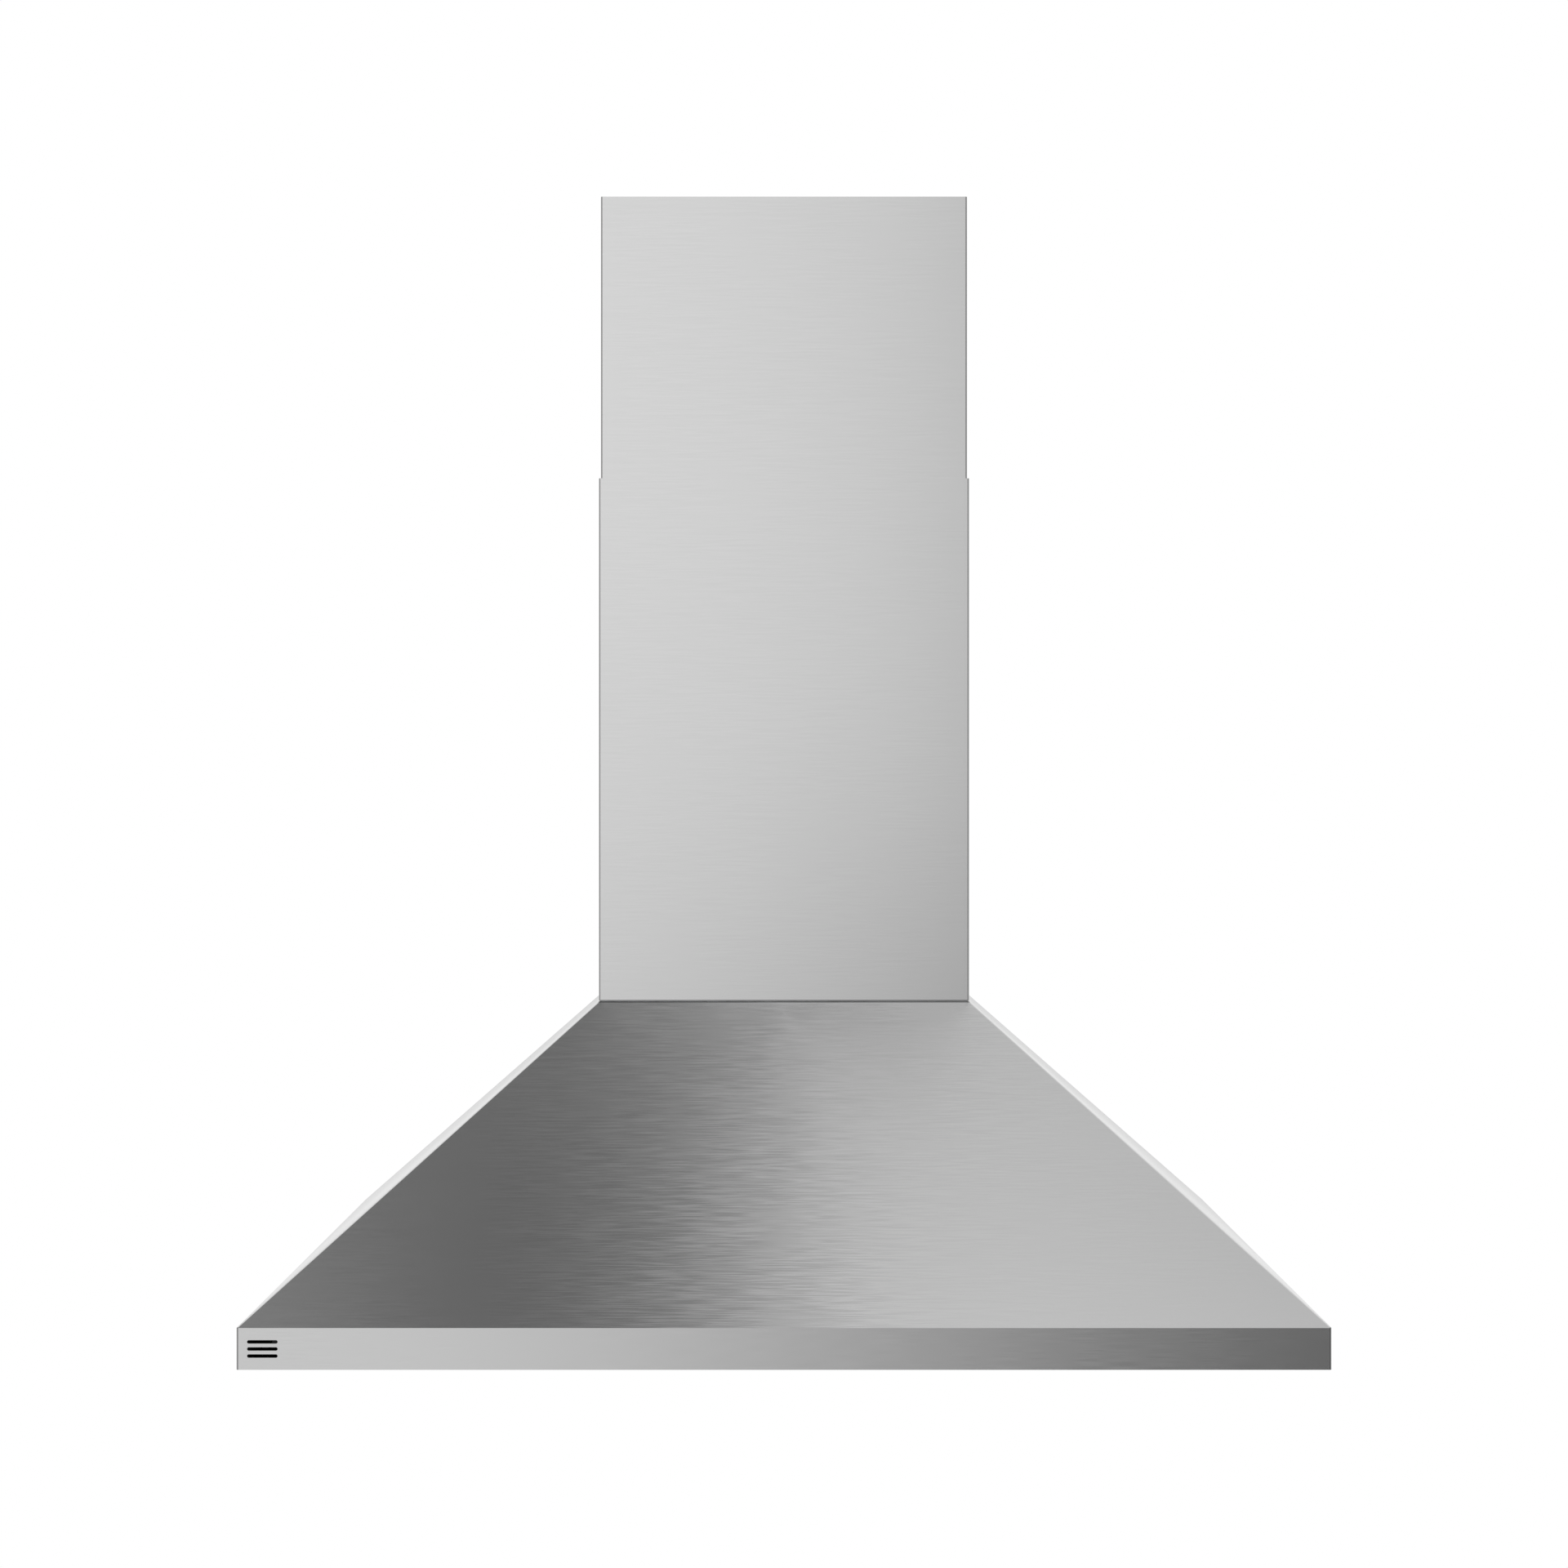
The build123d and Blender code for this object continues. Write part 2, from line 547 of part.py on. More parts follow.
with BuildPart() as under_panel:
    with BuildSketch(Plane.XY.offset(SKIRT_FOOT)):
        with Locations((0, -HOOD_DEPTH / 2)):
            Rectangle(PANEL_WIDTH, PANEL_DEPTH)
    extrude(amount=PANEL_TOP - SKIRT_FOOT)
    with BuildSketch(Plane.XY.offset(SKIRT_FOOT + SHEET)):
        with Locations((0, -HOOD_DEPTH / 2)):
            Rectangle(PANEL_WIDTH - 2 * SHEET, PANEL_DEPTH - 2 * SHEET)
    extrude(amount=RECESS_DEPTH - SKIRT_FOOT - SHEET, mode=Mode.SUBTRACT)
    with BuildSketch(Plane.XY.offset(SKIRT_FOOT)):
        with Locations((0, -HOOD_DEPTH / 2)):
            Rectangle(
                PANEL_WIDTH - 2 * (SHEET + SKIRT_FLANGE), PANEL_DEPTH - 2 * (SHEET + SKIRT_FLANGE)
            )
    extrude(amount=SHEET, mode=Mode.SUBTRACT)
    # openings under the filters, slots for their hooks and holes for the lamps
    with BuildSketch(Plane.XY.offset(RECESS_DEPTH)):
        with Locations((0, (OPENING_FRONT_Y + OPENING_REAR_Y) / 2)):
            with GridLocations(2 * FILTER_X, 0, 2, 1):
                Rectangle(FILTER_WIDTH - 2 * OPENING_LAP, OPENING_REAR_Y - OPENING_FRONT_Y)
        for side, sign in SIDES:
            with Locations((sign * FILTER_X, HOOK_EDGE_Y - HOOK_SLOT_WIDTH / 2)):
                with GridLocations(HOOK_SPACING, 0, 2, 1):
                    Rectangle(HOOK_SLOT_LENGTH, HOOK_SLOT_WIDTH)
        with Locations((0, LAMP_Y)):
            with GridLocations(2 * FILTER_X, 0, 2, 1):
                Circle(LAMP_BODY_RADIUS + FIT_GAP)
    extrude(amount=SHEET, mode=Mode.SUBTRACT)
    # notch for the control box, right through the front skirt
    with BuildSketch(Plane.XY):
        with Locations((CONTROL_MIDDLE[0], CONTROL_MIDDLE[1] - CONTROL_DEPTH / 4)):
            Rectangle(CONTROL_LENGTH + 2 * SLIDE_GAP, 1.5 * CONTROL_DEPTH + 2 * SLIDE_GAP)
    extrude(amount=2 * RECESS_DEPTH, mode=Mode.SUBTRACT)
under_panel.part.label = "under_panel"
export_step(under_panel.part, "parts/under_panel.step")

# ---------------------------------------------------------------- tray and chimney

with BuildPart() as top_tray:
    with BuildSketch(Plane.XY.offset(SEAT_Z)):
        with Locations((0, COLLAR_Y)):
            Rectangle(INNER_WIDTH, INNER_DEPTH)
    extrude(amount=TRAY_WALL)
    with BuildSketch(Plane.XY.offset(TRAY_TOP)):
        with Locations((0, COLLAR_Y)):
            Rectangle(INNER_WIDTH - 2 * SHEET, INNER_DEPTH - 2 * SHEET)
    extrude(amount=TRAY_WALL, mode=Mode.SUBTRACT)
    with BuildSketch(Plane.XY.offset(SEAT_Z)):
        with Locations((0, OUTLET_Y)):
            Rectangle(2 * SCROLL_HALF, OUTLET_DEPTH - 2 * SHEET)
        with Locations((-SERVICE_X, -CABLE_HOLE_SETBACK)):
            Circle(CABLE_HOLE_RADIUS)
    extrude(amount=SHEET, mode=Mode.SUBTRACT)
top_tray.part.label = "top_tray"
export_step(top_tray.part, "parts/top_tray.step")

with BuildPart() as lower_cover:
    with BuildSketch(Plane.XY.offset(LOWER_COVER_FOOT)):
        add(cover_section(CHIMNEY_WIDTH, CHIMNEY_DEPTH, 0))
    extrude(amount=LOWER_COVER_HEIGHT)
lower_cover.part.label = "lower_cover"
export_step(lower_cover.part, "parts/lower_cover.step")

with BuildPart() as upper_cover:
    with BuildSketch(Plane.XY.offset(UPPER_COVER_TOP - UPPER_COVER_HEIGHT)):
        add(cover_section(INNER_WIDTH, INNER_DEPTH, INNER_REAR_Y))
    extrude(amount=UPPER_COVER_HEIGHT)
    # the rear flanges make room for the wall bracket
    with BuildSketch(Plane.XZ):
        with Locations((0, BRACKET_Z)):
            Rectangle(INNER_WIDTH - 2 * SHEET, BRACKET_HEIGHT + 2 * BRACKET_NOTCH_GAP)
    extrude(amount=-INNER_REAR_Y + 2 * BEND_RADIUS, mode=Mode.SUBTRACT)
upper_cover.part.label = "upper_cover"
export_step(upper_cover.part, "parts/upper_cover.step")

with BuildPart() as chimney_bracket:
    with BuildSketch(Plane.XY.offset(BRACKET_Z - BRACKET_HEIGHT / 2)):
        with Locations((0, -BRACKET_EAR / 2)):
            Rectangle(BRACKET_WIDTH, BRACKET_EAR)
        with Locations((0, -BRACKET_SHEET - BRACKET_EAR)):
            Rectangle(BRACKET_WIDTH - 2 * BRACKET_SHEET, 2 * BRACKET_EAR, mode=Mode.SUBTRACT)
    extrude(amount=BRACKET_HEIGHT)
    with BuildSketch(Plane.XZ):
        with Locations((0, BRACKET_Z)):
            with GridLocations(BRACKET_HOLE_SPACING, 0, 2, 1):
                Circle(BRACKET_HOLE_RADIUS)
    extrude(amount=BRACKET_SHEET, mode=Mode.SUBTRACT)
chimney_bracket.part.label = "chimney_bracket"
export_step(chimney_bracket.part, "parts/chimney_bracket.step")

# ---------------------------------------------------------------- filters

for side, sign in SIDES:
    middle_x = sign * FILTER_X

    with BuildPart() as filter_frame:
        with BuildSketch(Plane.XY.offset(FILTER_BOTTOM)):
            with Locations((middle_x, FILTER_REAR_Y)):
                Rectangle(FILTER_WIDTH, FILTER_DEPTH, align=(Align.CENTER, Align.MAX))
        extrude(amount=FILTER_THICKNESS)
        fillet(filter_frame.edges().filter_by(Axis.Z), 2 * BEND_RADIUS)
        # channel open to the inside, with a wide front member for the latch
        with BuildSketch(Plane.XY.offset(FILTER_BOTTOM + FILTER_WALL)):
            with Locations((middle_x, FILTER_REAR_Y - FILTER_DEPTH / 2)):
                Rectangle(FILTER_WIDTH - 2 * FILTER_WALL, FILTER_DEPTH - 2 * FILTER_WALL)
        extrude(amount=FILTER_THICKNESS - 2 * FILTER_WALL, mode=Mode.SUBTRACT)
        with BuildSketch(Plane.XY.offset(FILTER_BOTTOM)):
            with Locations((middle_x, FILTER_REAR_Y - FRAME_FLANGE)):
                Rectangle(
                    FILTER_WIDTH - 2 * FRAME_FLANGE,
                    FILTER_DEPTH - FRAME_FLANGE - FRAME_FRONT_FLANGE,
                    align=(Align.CENTER, Align.MAX),
                )
        extrude(amount=FILTER_THICKNESS, mode=Mode.SUBTRACT)
        # slots for the latch's nose above and for its thumb pad below
        with BuildSketch(Plane.XY.offset(FILTER_TOP - FILTER_WALL)):
            with Locations((middle_x, LATCH_STEM_Y - FIT_GAP)):
                Rectangle(
                    LATCH_NOSE_WIDTH + 2 * FIT_GAP,
                    LATCH_STEM + LATCH_TRAVEL + 2 * FIT_GAP,
                    align=(Align.CENTER, Align.MIN),
                )
        extrude(amount=FILTER_WALL, mode=Mode.SUBTRACT)
        with BuildSketch(Plane.XY.offset(FILTER_BOTTOM)):
            with Locations((middle_x, LATCH_PAD_Y - FIT_GAP)):
                Rectangle(
                    LATCH_PAD_WIDTH + 2 * FIT_GAP,
                    LATCH_PAD_LENGTH + LATCH_TRAVEL + 2 * FIT_GAP,
                    align=(Align.CENTER, Align.MIN),
                )
        extrude(amount=FILTER_WALL, mode=Mode.SUBTRACT)
        # hooks: strips on the rear wall go up through the slots and turn back over their rear edge
        for hook_x in (middle_x - HOOK_SPACING / 2, middle_x + HOOK_SPACING / 2):
            with BuildSketch(Plane.YZ.offset(hook_x)):
                add(hook_outline())
            extrude(amount=HOOK_WIDTH / 2, both=True)
        # seat of the latch's spring
        with BuildSketch(Plane.XY.offset(CAVITY_BOTTOM)):
            with Locations((middle_x, SPRING_SEAT_Y)):
                Rectangle(SPRING_WIDTH, FILTER_WALL, align=(Align.CENTER, Align.MAX))
        extrude(amount=CAVITY_TOP - CAVITY_BOTTOM)
    filter_frame.part.label = f"filter_frame_{side}"
    export_step(filter_frame.part, f"parts/filter_frame_{side}.step")

    with BuildPart() as filter_baffles:
        with BuildSketch(Plane.XZ.offset(-BAFFLE_REAR_Y)):
            with Locations((middle_x, CAVITY_BOTTOM + SKIRT_GAP)):
                with GridLocations(BAFFLE_PITCH, 0, BAFFLE_COUNT, 1):
                    add(baffle_section(True))
            with Locations((middle_x, CAVITY_TOP - SKIRT_GAP)):
                with GridLocations(BAFFLE_PITCH, 0, BAFFLE_COUNT - 1, 1):
                    add(baffle_section(False))
        extrude(amount=BAFFLE_REAR_Y - BAFFLE_FRONT_Y)
    filter_baffles.part.label = f"filter_baffles_{side}"
    export_step(filter_baffles.part, f"parts/filter_baffles_{side}.step")

    with BuildPart() as filter_latch:
        with BuildSketch(Plane.XY.offset(CAVITY_BOTTOM + FIT_GAP)):
            with Locations((middle_x, LATCH_FRONT_Y)):
                Rectangle(LATCH_WIDTH, LATCH_LENGTH, align=(Align.CENTER, Align.MIN))
        extrude(amount=CAVITY_TOP - CAVITY_BOTTOM - 2 * FIT_GAP)
        # thumb pad through the slot below
        with BuildSketch(Plane.XY.offset(CAVITY_BOTTOM + FIT_GAP)):
            with Locations((middle_x, LATCH_PAD_Y)):
                Rectangle(LATCH_PAD_WIDTH, LATCH_PAD_LENGTH, align=(Align.CENTER, Align.MIN))
        extrude(amount=-(FILTER_WALL + FIT_GAP + LATCH_PAD_DROP))
        # stem through the slot above, and the nose that reaches over the under panel's edge
        with BuildSketch(Plane.YZ.offset(middle_x)):
            with BuildLine():
                nose_y = OPENING_FRONT_Y - LATCH_LAP
                nose_z = PANEL_TOP + LATCH_NOSE_GAP
                stem_rear_y = LATCH_STEM_Y + LATCH_STEM
                Polyline(
                    (LATCH_STEM_Y, CAVITY_TOP - FIT_GAP),
                    (stem_rear_y, CAVITY_TOP - FIT_GAP),
                    (stem_rear_y, nose_z + LATCH_NOSE_HEIGHT),
                    (nose_y + LATCH_NOSE_HEIGHT, nose_z + LATCH_NOSE_HEIGHT),
                    (nose_y, nose_z),
                    (LATCH_STEM_Y, nose_z),
                    close=True,
                )
            make_face()
        extrude(amount=LATCH_NOSE_WIDTH / 2, both=True)
    filter_latch.part.label = f"filter_latch_{side}"
    export_step(filter_latch.part, f"parts/filter_latch_{side}.step")

    with BuildPart() as latch_spring:
        spring_start = LATCH_REAR_Y + SPRING_LEAF
        spring_end = SPRING_SEAT_Y - FILTER_WALL - SPRING_LEAF
        fold = (spring_end - spring_start) / SPRING_FOLDS
        with BuildSketch(Plane.XY.offset((CAVITY_BOTTOM + CAVITY_TOP - SPRING_HEIGHT) / 2)):
            with BuildLine() as zigzag:
                Polyline(
                    [
                        (middle_x + (-1) ** count * SPRING_WIDTH / 2, spring_start + fold * count)
                        for count in range(SPRING_FOLDS + 1)
                    ]
                )
            trace(line_width=SPRING_LEAF)
        extrude(amount=SPRING_HEIGHT)
    latch_spring.part.label = f"latch_spring_{side}"
    export_step(latch_spring.part, f"parts/latch_spring_{side}.step")

# ---------------------------------------------------------------- lamps

LENS_RADIUS = LAMP_BODY_RADIUS - LAMP_WALL - FIT_GAP
LAMP_FACE_Z = RECESS_DEPTH - LAMP_FLANGE_HEIGHT
LEDGE_Z = LAMP_FACE_Z + LENS_DEPTH
LAMP_ROOF_Z = RECESS_DEPTH + LAMP_HEIGHT - LAMP_WALL
LEDGE_RADIUS = LAMP_BODY_RADIUS - LAMP_WALL - LENS_LEDGE

with BuildPart() as lamp_housings:
    with BuildSketch(Plane.XY.offset(LAMP_FACE_Z)):
        with Locations((0, LAMP_Y)):
            with GridLocations(2 * FILTER_X, 0, 2, 1):
                Circle(LAMP_FLANGE_RADIUS)
    extrude(amount=LAMP_FLANGE_HEIGHT)
    with BuildSketch(Plane.XY.offset(RECESS_DEPTH)):
        with Locations((0, LAMP_Y)):
            with GridLocations(2 * FILTER_X, 0, 2, 1):
                Circle(LAMP_BODY_RADIUS)
    extrude(amount=LAMP_HEIGHT)
    with BuildSketch(Plane.XY.offset(LAMP_FACE_Z)):
        with Locations((0, LAMP_Y)):
            with GridLocations(2 * FILTER_X, 0, 2, 1):
                Circle(LAMP_BODY_RADIUS - LAMP_WALL)
    extrude(amount=LENS_DEPTH, mode=Mode.SUBTRACT)
    with BuildSketch(Plane.XY.offset(LEDGE_Z)):
        with Locations((0, LAMP_Y)):
            with GridLocations(2 * FILTER_X, 0, 2, 1):
                Circle(LEDGE_RADIUS)
    extrude(amount=LAMP_ROOF_Z - LEDGE_Z, mode=Mode.SUBTRACT)
lamp_housings.part.label = "lamp_housings"
export_step(lamp_housings.part, "parts/lamp_housings.step")

with BuildPart() as lamp_lenses:
    with BuildSketch(Plane.XY.offset(LEDGE_Z - SKIRT_GAP)):
        with Locations((0, LAMP_Y)):
            with GridLocations(2 * FILTER_X, 0, 2, 1):
                Circle(LENS_RADIUS)
    extrude(amount=-LENS_THICKNESS)
lamp_lenses.part.label = "lamp_lenses"
export_step(lamp_lenses.part, "parts/lamp_lenses.step")

with BuildPart() as light_boards:
    with BuildSketch(Plane.XY.offset(LAMP_ROOF_Z)):
        with Locations((0, LAMP_Y)):
            with GridLocations(2 * FILTER_X, 0, 2, 1):
                Rectangle(LIGHT_BOARD, LIGHT_BOARD)
    extrude(amount=-LIGHT_BOARD_THICKNESS)
    with BuildSketch(Plane.XY.offset(LAMP_ROOF_Z - LIGHT_BOARD_THICKNESS)):
        with Locations((0, LAMP_Y)):
            with GridLocations(2 * FILTER_X, 0, 2, 1):
                Rectangle(LIGHT_CHIP, LIGHT_CHIP)
    extrude(amount=-LIGHT_CHIP_HEIGHT)
light_boards.part.label = "light_boards"
export_step(light_boards.part, "parts/light_boards.step")

# ---------------------------------------------------------------- controls

BUTTON_Y = -(HOOD_DEPTH - BUTTON_FRONT)
BUTTON_ROW = [
    (CONTROL_MIDDLE[0] + (count - (len(BUTTON_NAMES) - 1) / 2) * BUTTON_PITCH, BUTTON_Y)
    for count in range(len(BUTTON_NAMES))
]
BEZEL_FRONT_Y = -(HOOD_DEPTH - PANEL_INSET - SHEET - FIT_GAP)  # behind the front skirt
SWITCH_Z = BOARD_Z - SWITCH_HEIGHT
CONTROL_ROOF_Z = CONTROL_TOP - CONTROL_WALL
CONNECTOR_Y = CONTROL_MIDDLE[1] + CONTROL_DEPTH / 2 - 2 * BOARD_INSET

with BuildPart() as control_box:
    with BuildSketch(Plane.XY.offset(BEZEL_TOP)):
        with Locations(CONTROL_MIDDLE):
            Rectangle(CONTROL_LENGTH, CONTROL_DEPTH)
    extrude(amount=CONTROL_TOP - BEZEL_TOP)
    with BuildSketch(Plane.XY.offset(BEZEL_TOP)):
        with Locations(CONTROL_MIDDLE):
            Rectangle(CONTROL_LENGTH - 2 * CONTROL_WALL, CONTROL_DEPTH - 2 * CONTROL_WALL)
    extrude(amount=CONTROL_ROOF_Z - BEZEL_TOP, mode=Mode.SUBTRACT)
    # flange that lies on the under panel behind and beside the notch
    with BuildSketch(Plane.XY.offset(PANEL_TOP)):
        with Locations((CONTROL_LEFT, CONTROL_FRONT_Y)):
            Rectangle(
                CONTROL_LENGTH + CONTROL_FLANGE,
                CONTROL_DEPTH + CONTROL_FLANGE,
                align=(Align.MIN, Align.MIN),
            )
        with Locations(CONTROL_MIDDLE):
            Rectangle(
                CONTROL_LENGTH - CONTROL_WALL, CONTROL_DEPTH - CONTROL_WALL, mode=Mode.SUBTRACT
            )
    extrude(amount=CONTROL_FLANGE_SHEET)
    # posts that carry the board
    with BuildSketch(Plane.XY.offset(BOARD_Z + BOARD_THICKNESS)):
        with Locations(CONTROL_MIDDLE):
            with GridLocations(
                CONTROL_LENGTH - 2 * (BOARD_INSET + POST_INSET),
                CONTROL_DEPTH - 2 * POST_INSET,
                2,
                2,
            ):
                Rectangle(POST_SIZE, POST_SIZE)
    extrude(amount=CONTROL_ROOF_Z - BOARD_Z - BOARD_THICKNESS)
    # window behind the band's slots
    with BuildSketch(Plane.XZ.offset(-CONTROL_FRONT_Y)):
        with Locations((-HALF_WIDTH + SLOT_INSET + SLOT_LENGTH / 2, BAND_HEIGHT / 2)):
            Rectangle(
                SLOT_LENGTH + 2 * CONTROL_SLOT_SPREAD,
                (SLOT_COUNT - 1) * SLOT_PITCH + SLOT_HEIGHT + 2 * CONTROL_SLOT_SPREAD,
            )
    extrude(amount=-CONTROL_WALL, mode=Mode.SUBTRACT)
control_box.part.label = "control_box"
export_step(control_box.part, "parts/control_box.step")

with BuildPart() as control_board:
    with BuildSketch(Plane.XY.offset(BOARD_Z)):
        with Locations(CONTROL_MIDDLE):
            Rectangle(CONTROL_LENGTH - 2 * BOARD_INSET, CONTROL_DEPTH - 2 * BOARD_INSET)
    extrude(amount=BOARD_THICKNESS)
    with BuildSketch(Plane.XY.offset(BOARD_Z)):
        with Locations(*BUTTON_ROW):
            Rectangle(SWITCH_SIZE, SWITCH_SIZE)
    extrude(amount=-SWITCH_HEIGHT)
    with BuildSketch(Plane.XY.offset(BOARD_Z + BOARD_THICKNESS)):
        with Locations((CONTROL_MIDDLE[0], CONNECTOR_Y)):
            Rectangle(CONNECTOR_LENGTH, CONNECTOR_WIDTH)
    extrude(amount=CONNECTOR_HEIGHT)
control_board.part.label = "control_board"
export_step(control_board.part, "parts/control_board.step")

with BuildPart() as control_bezel:
    with BuildSketch(Plane.XY.offset(BEZEL_Z)):
        with Locations((CONTROL_LEFT, BEZEL_FRONT_Y)):
            Rectangle(
                CONTROL_LENGTH + BEZEL_MARGIN,
                CONTROL_DEPTH + BEZEL_MARGIN + CONTROL_FRONT_Y - BEZEL_FRONT_Y,
                align=(Align.MIN, Align.MIN),
            )
    extrude(amount=BEZEL_THICKNESS)
    chamfer(control_bezel.edges().group_by(Axis.Z)[0], BEZEL_THICKNESS / 3)
    with BuildSketch(Plane.XY.offset(BEZEL_Z)):
        with Locations(*BUTTON_ROW):
            add(button_outline(FIT_GAP))
    extrude(amount=BEZEL_THICKNESS, mode=Mode.SUBTRACT)
control_bezel.part.label = "control_bezel"
export_step(control_bezel.part, "parts/control_bezel.step")

for name, place in zip(BUTTON_NAMES, BUTTON_ROW):
    with BuildPart() as button:
        with BuildSketch(Plane.XY.offset(BEZEL_Z - BUTTON_PROUD)):
            with Locations(place):
                add(button_outline(0))
        extrude(amount=BUTTON_PROUD + BEZEL_THICKNESS + FIT_GAP)
        chamfer(button.edges().group_by(Axis.Z)[0], BUTTON_CORNER / 3)
        with BuildSketch(Plane.XY.offset(BEZEL_TOP + FIT_GAP)):
            with Locations(place):
                Rectangle(BUTTON_LENGTH + 2 * BUTTON_FLANGE, BUTTON_WIDTH + 2 * BUTTON_FLANGE)
        extrude(amount=BUTTON_FLANGE_HEIGHT)
        with BuildSketch(Plane.XY.offset(BEZEL_TOP + FIT_GAP)):
            with Locations(place):
                Rectangle(BUTTON_STEM, BUTTON_STEM)
        extrude(amount=SWITCH_Z - SWITCH_GAP - BUTTON_TRAVEL - BEZEL_TOP - FIT_GAP)
    button.part.label = f"button_{name}"
    export_step(button.part, f"parts/button_{name}.step")

# ---------------------------------------------------------------- blower

with BuildPart() as blower_scroll:
    with BuildSketch(Plane.YZ):
        add(scroll_profile(0, SEAT_Z))
        add(scroll_profile(SHEET, SEAT_Z), mode=Mode.SUBTRACT)
    extrude(amount=SCROLL_HALF, both=True)
    # front and rear lips of the outlet
    with BuildSketch(Plane.XY.offset(SEAT_Z)):
        with Locations((0, OUTLET_Y)):
            Rectangle(2 * SCROLL_HALF, OUTLET_DEPTH + 2 * BLOWER_LIP)
            Rectangle(2 * SCROLL_HALF, OUTLET_DEPTH - SHEET, mode=Mode.SUBTRACT)
    extrude(amount=-SHEET)
blower_scroll.part.label = "blower_scroll"
export_step(blower_scroll.part, "parts/blower_scroll.step")

SPIDER_REACH = INLET_RADIUS + SPIDER_LAP

with BuildPart() as back_plate:
    with BuildSketch(Plane.YZ.offset(-SCROLL_HALF)):
        add(scroll_profile(0, SEAT_Z))
    extrude(amount=-SHEET)
    # outlet's side lip
    with BuildSketch(Plane.XY.offset(SEAT_Z)):
        with Locations((-SIDE_LIP_X, OUTLET_Y)):
            Rectangle(BLOWER_LIP + SHEET, OUTLET_DEPTH)
    extrude(amount=-SHEET)
back_plate.part.label = "back_plate"
export_step(back_plate.part, "parts/back_plate.step")

with BuildPart() as inlet_plate:
    with BuildSketch(Plane.YZ.offset(SCROLL_HALF)):
        add(scroll_profile(0, SEAT_Z))
    extrude(amount=SHEET)
    with BuildSketch(wheel_plane(SCROLL_HALF)):
        Circle(INLET_RADIUS)
    extrude(amount=SHEET, mode=Mode.SUBTRACT)
    # inlet cone: the sheet is flared in towards the wheel
    with BuildSketch(Plane((0, WHEEL_Y, WHEEL_Z), x_dir=(1, 0, 0), z_dir=(0, -1, 0))):
        with BuildLine():
            Polyline(
                (PLATE_FACE, INLET_RADIUS),
                (SCROLL_HALF, INLET_RADIUS),
                (PLATE_FACE - INLET_FLARE, WHEEL_BORE + SHEET),
                (PLATE_FACE - INLET_FLARE, WHEEL_BORE),
                close=True,
            )
        make_face()
    revolve(axis=Axis((0, WHEEL_Y, WHEEL_Z), (1, 0, 0)))
    # outlet's side lip
    with BuildSketch(Plane.XY.offset(SEAT_Z)):
        with Locations((SIDE_LIP_X, OUTLET_Y)):
            Rectangle(BLOWER_LIP + SHEET, OUTLET_DEPTH)
    extrude(amount=-SHEET)
inlet_plate.part.label = "inlet_plate"
export_step(inlet_plate.part, "parts/inlet_plate.step")

# blade seen along the axis: a strip from the bore to the rim, bent forwards half way
with BuildSketch() as blade:
    with BuildLine():
        root = WHEEL_BORE + BLADE_SHEET / 2
        tip = WHEEL_RADIUS - BLADE_SHEET
        bend = (root + tip) / 2
        Polyline(
            (root, 0),
            (bend, BLADE_BEND),
            (tip, BLADE_SWEEP),
            (tip, BLADE_SWEEP + BLADE_SHEET),
            (bend, BLADE_BEND + BLADE_SHEET),
            (root, BLADE_SHEET),
            close=True,
        )
    make_face()

with BuildPart() as impeller:
    with BuildSketch(wheel_plane(-WHEEL_HALF)):
        with PolarLocations(0, BLADE_COUNT):
            add(blade.sketch)
    extrude(amount=2 * WHEEL_HALF - RING_THICKNESS)
    # disc at the back and ring at the inlet
    with BuildSketch(wheel_plane(-WHEEL_HALF)):
        Circle(WHEEL_RADIUS)
    extrude(amount=RING_THICKNESS)
    with BuildSketch(wheel_plane(WHEEL_HALF - RING_THICKNESS)):
        Circle(WHEEL_RADIUS)
        Circle(WHEEL_BORE, mode=Mode.SUBTRACT)
    extrude(amount=RING_THICKNESS)
    with BuildSketch(wheel_plane(-WHEEL_HALF)):
        Circle(HUB_RADIUS)
    extrude(amount=HUB_LENGTH)
    with BuildSketch(wheel_plane(-WHEEL_HALF)):
        Circle(SHAFT_RADIUS + SHAFT_GAP)
    extrude(amount=HUB_LENGTH, mode=Mode.SUBTRACT)
impeller.part.label = "impeller"
export_step(impeller.part, "parts/impeller.step")

with BuildPart() as motor_shaft:
    with BuildSketch(wheel_plane(-WHEEL_HALF - SHEET)):
        Circle(SHAFT_RADIUS)
    extrude(amount=WHEEL_HALF + PLATE_FACE)
motor_shaft.part.label = "motor_shaft"
export_step(motor_shaft.part, "parts/motor_shaft.step")

with BuildPart() as motor_body:
    # half section: bearing boss, front face, sloped shoulder and shell
    with BuildSketch(Plane((0, WHEEL_Y, WHEEL_Z), x_dir=(1, 0, 0), z_dir=(0, -1, 0))):
        with BuildLine():
            Polyline(
                (MOTOR_FRONT_X - MOTOR_BOSS_LENGTH, SHAFT_RADIUS + SHAFT_GAP),
                (MOTOR_FRONT_X - MOTOR_BOSS_LENGTH, MOTOR_BOSS_RADIUS),
                (MOTOR_FRONT_X, MOTOR_BOSS_RADIUS),
                (MOTOR_FRONT_X, MOTOR_RADIUS - MOTOR_SHOULDER),
                (MOTOR_FRONT_X + MOTOR_SHOULDER, MOTOR_RADIUS),
                (PLATE_FACE, MOTOR_RADIUS),
                (PLATE_FACE, SHAFT_RADIUS + SHAFT_GAP),
                close=True,
            )
        make_face()
    revolve(axis=Axis((0, WHEEL_Y, WHEEL_Z), (1, 0, 0)))
motor_body.part.label = "motor_body"
export_step(motor_body.part, "parts/motor_body.step")

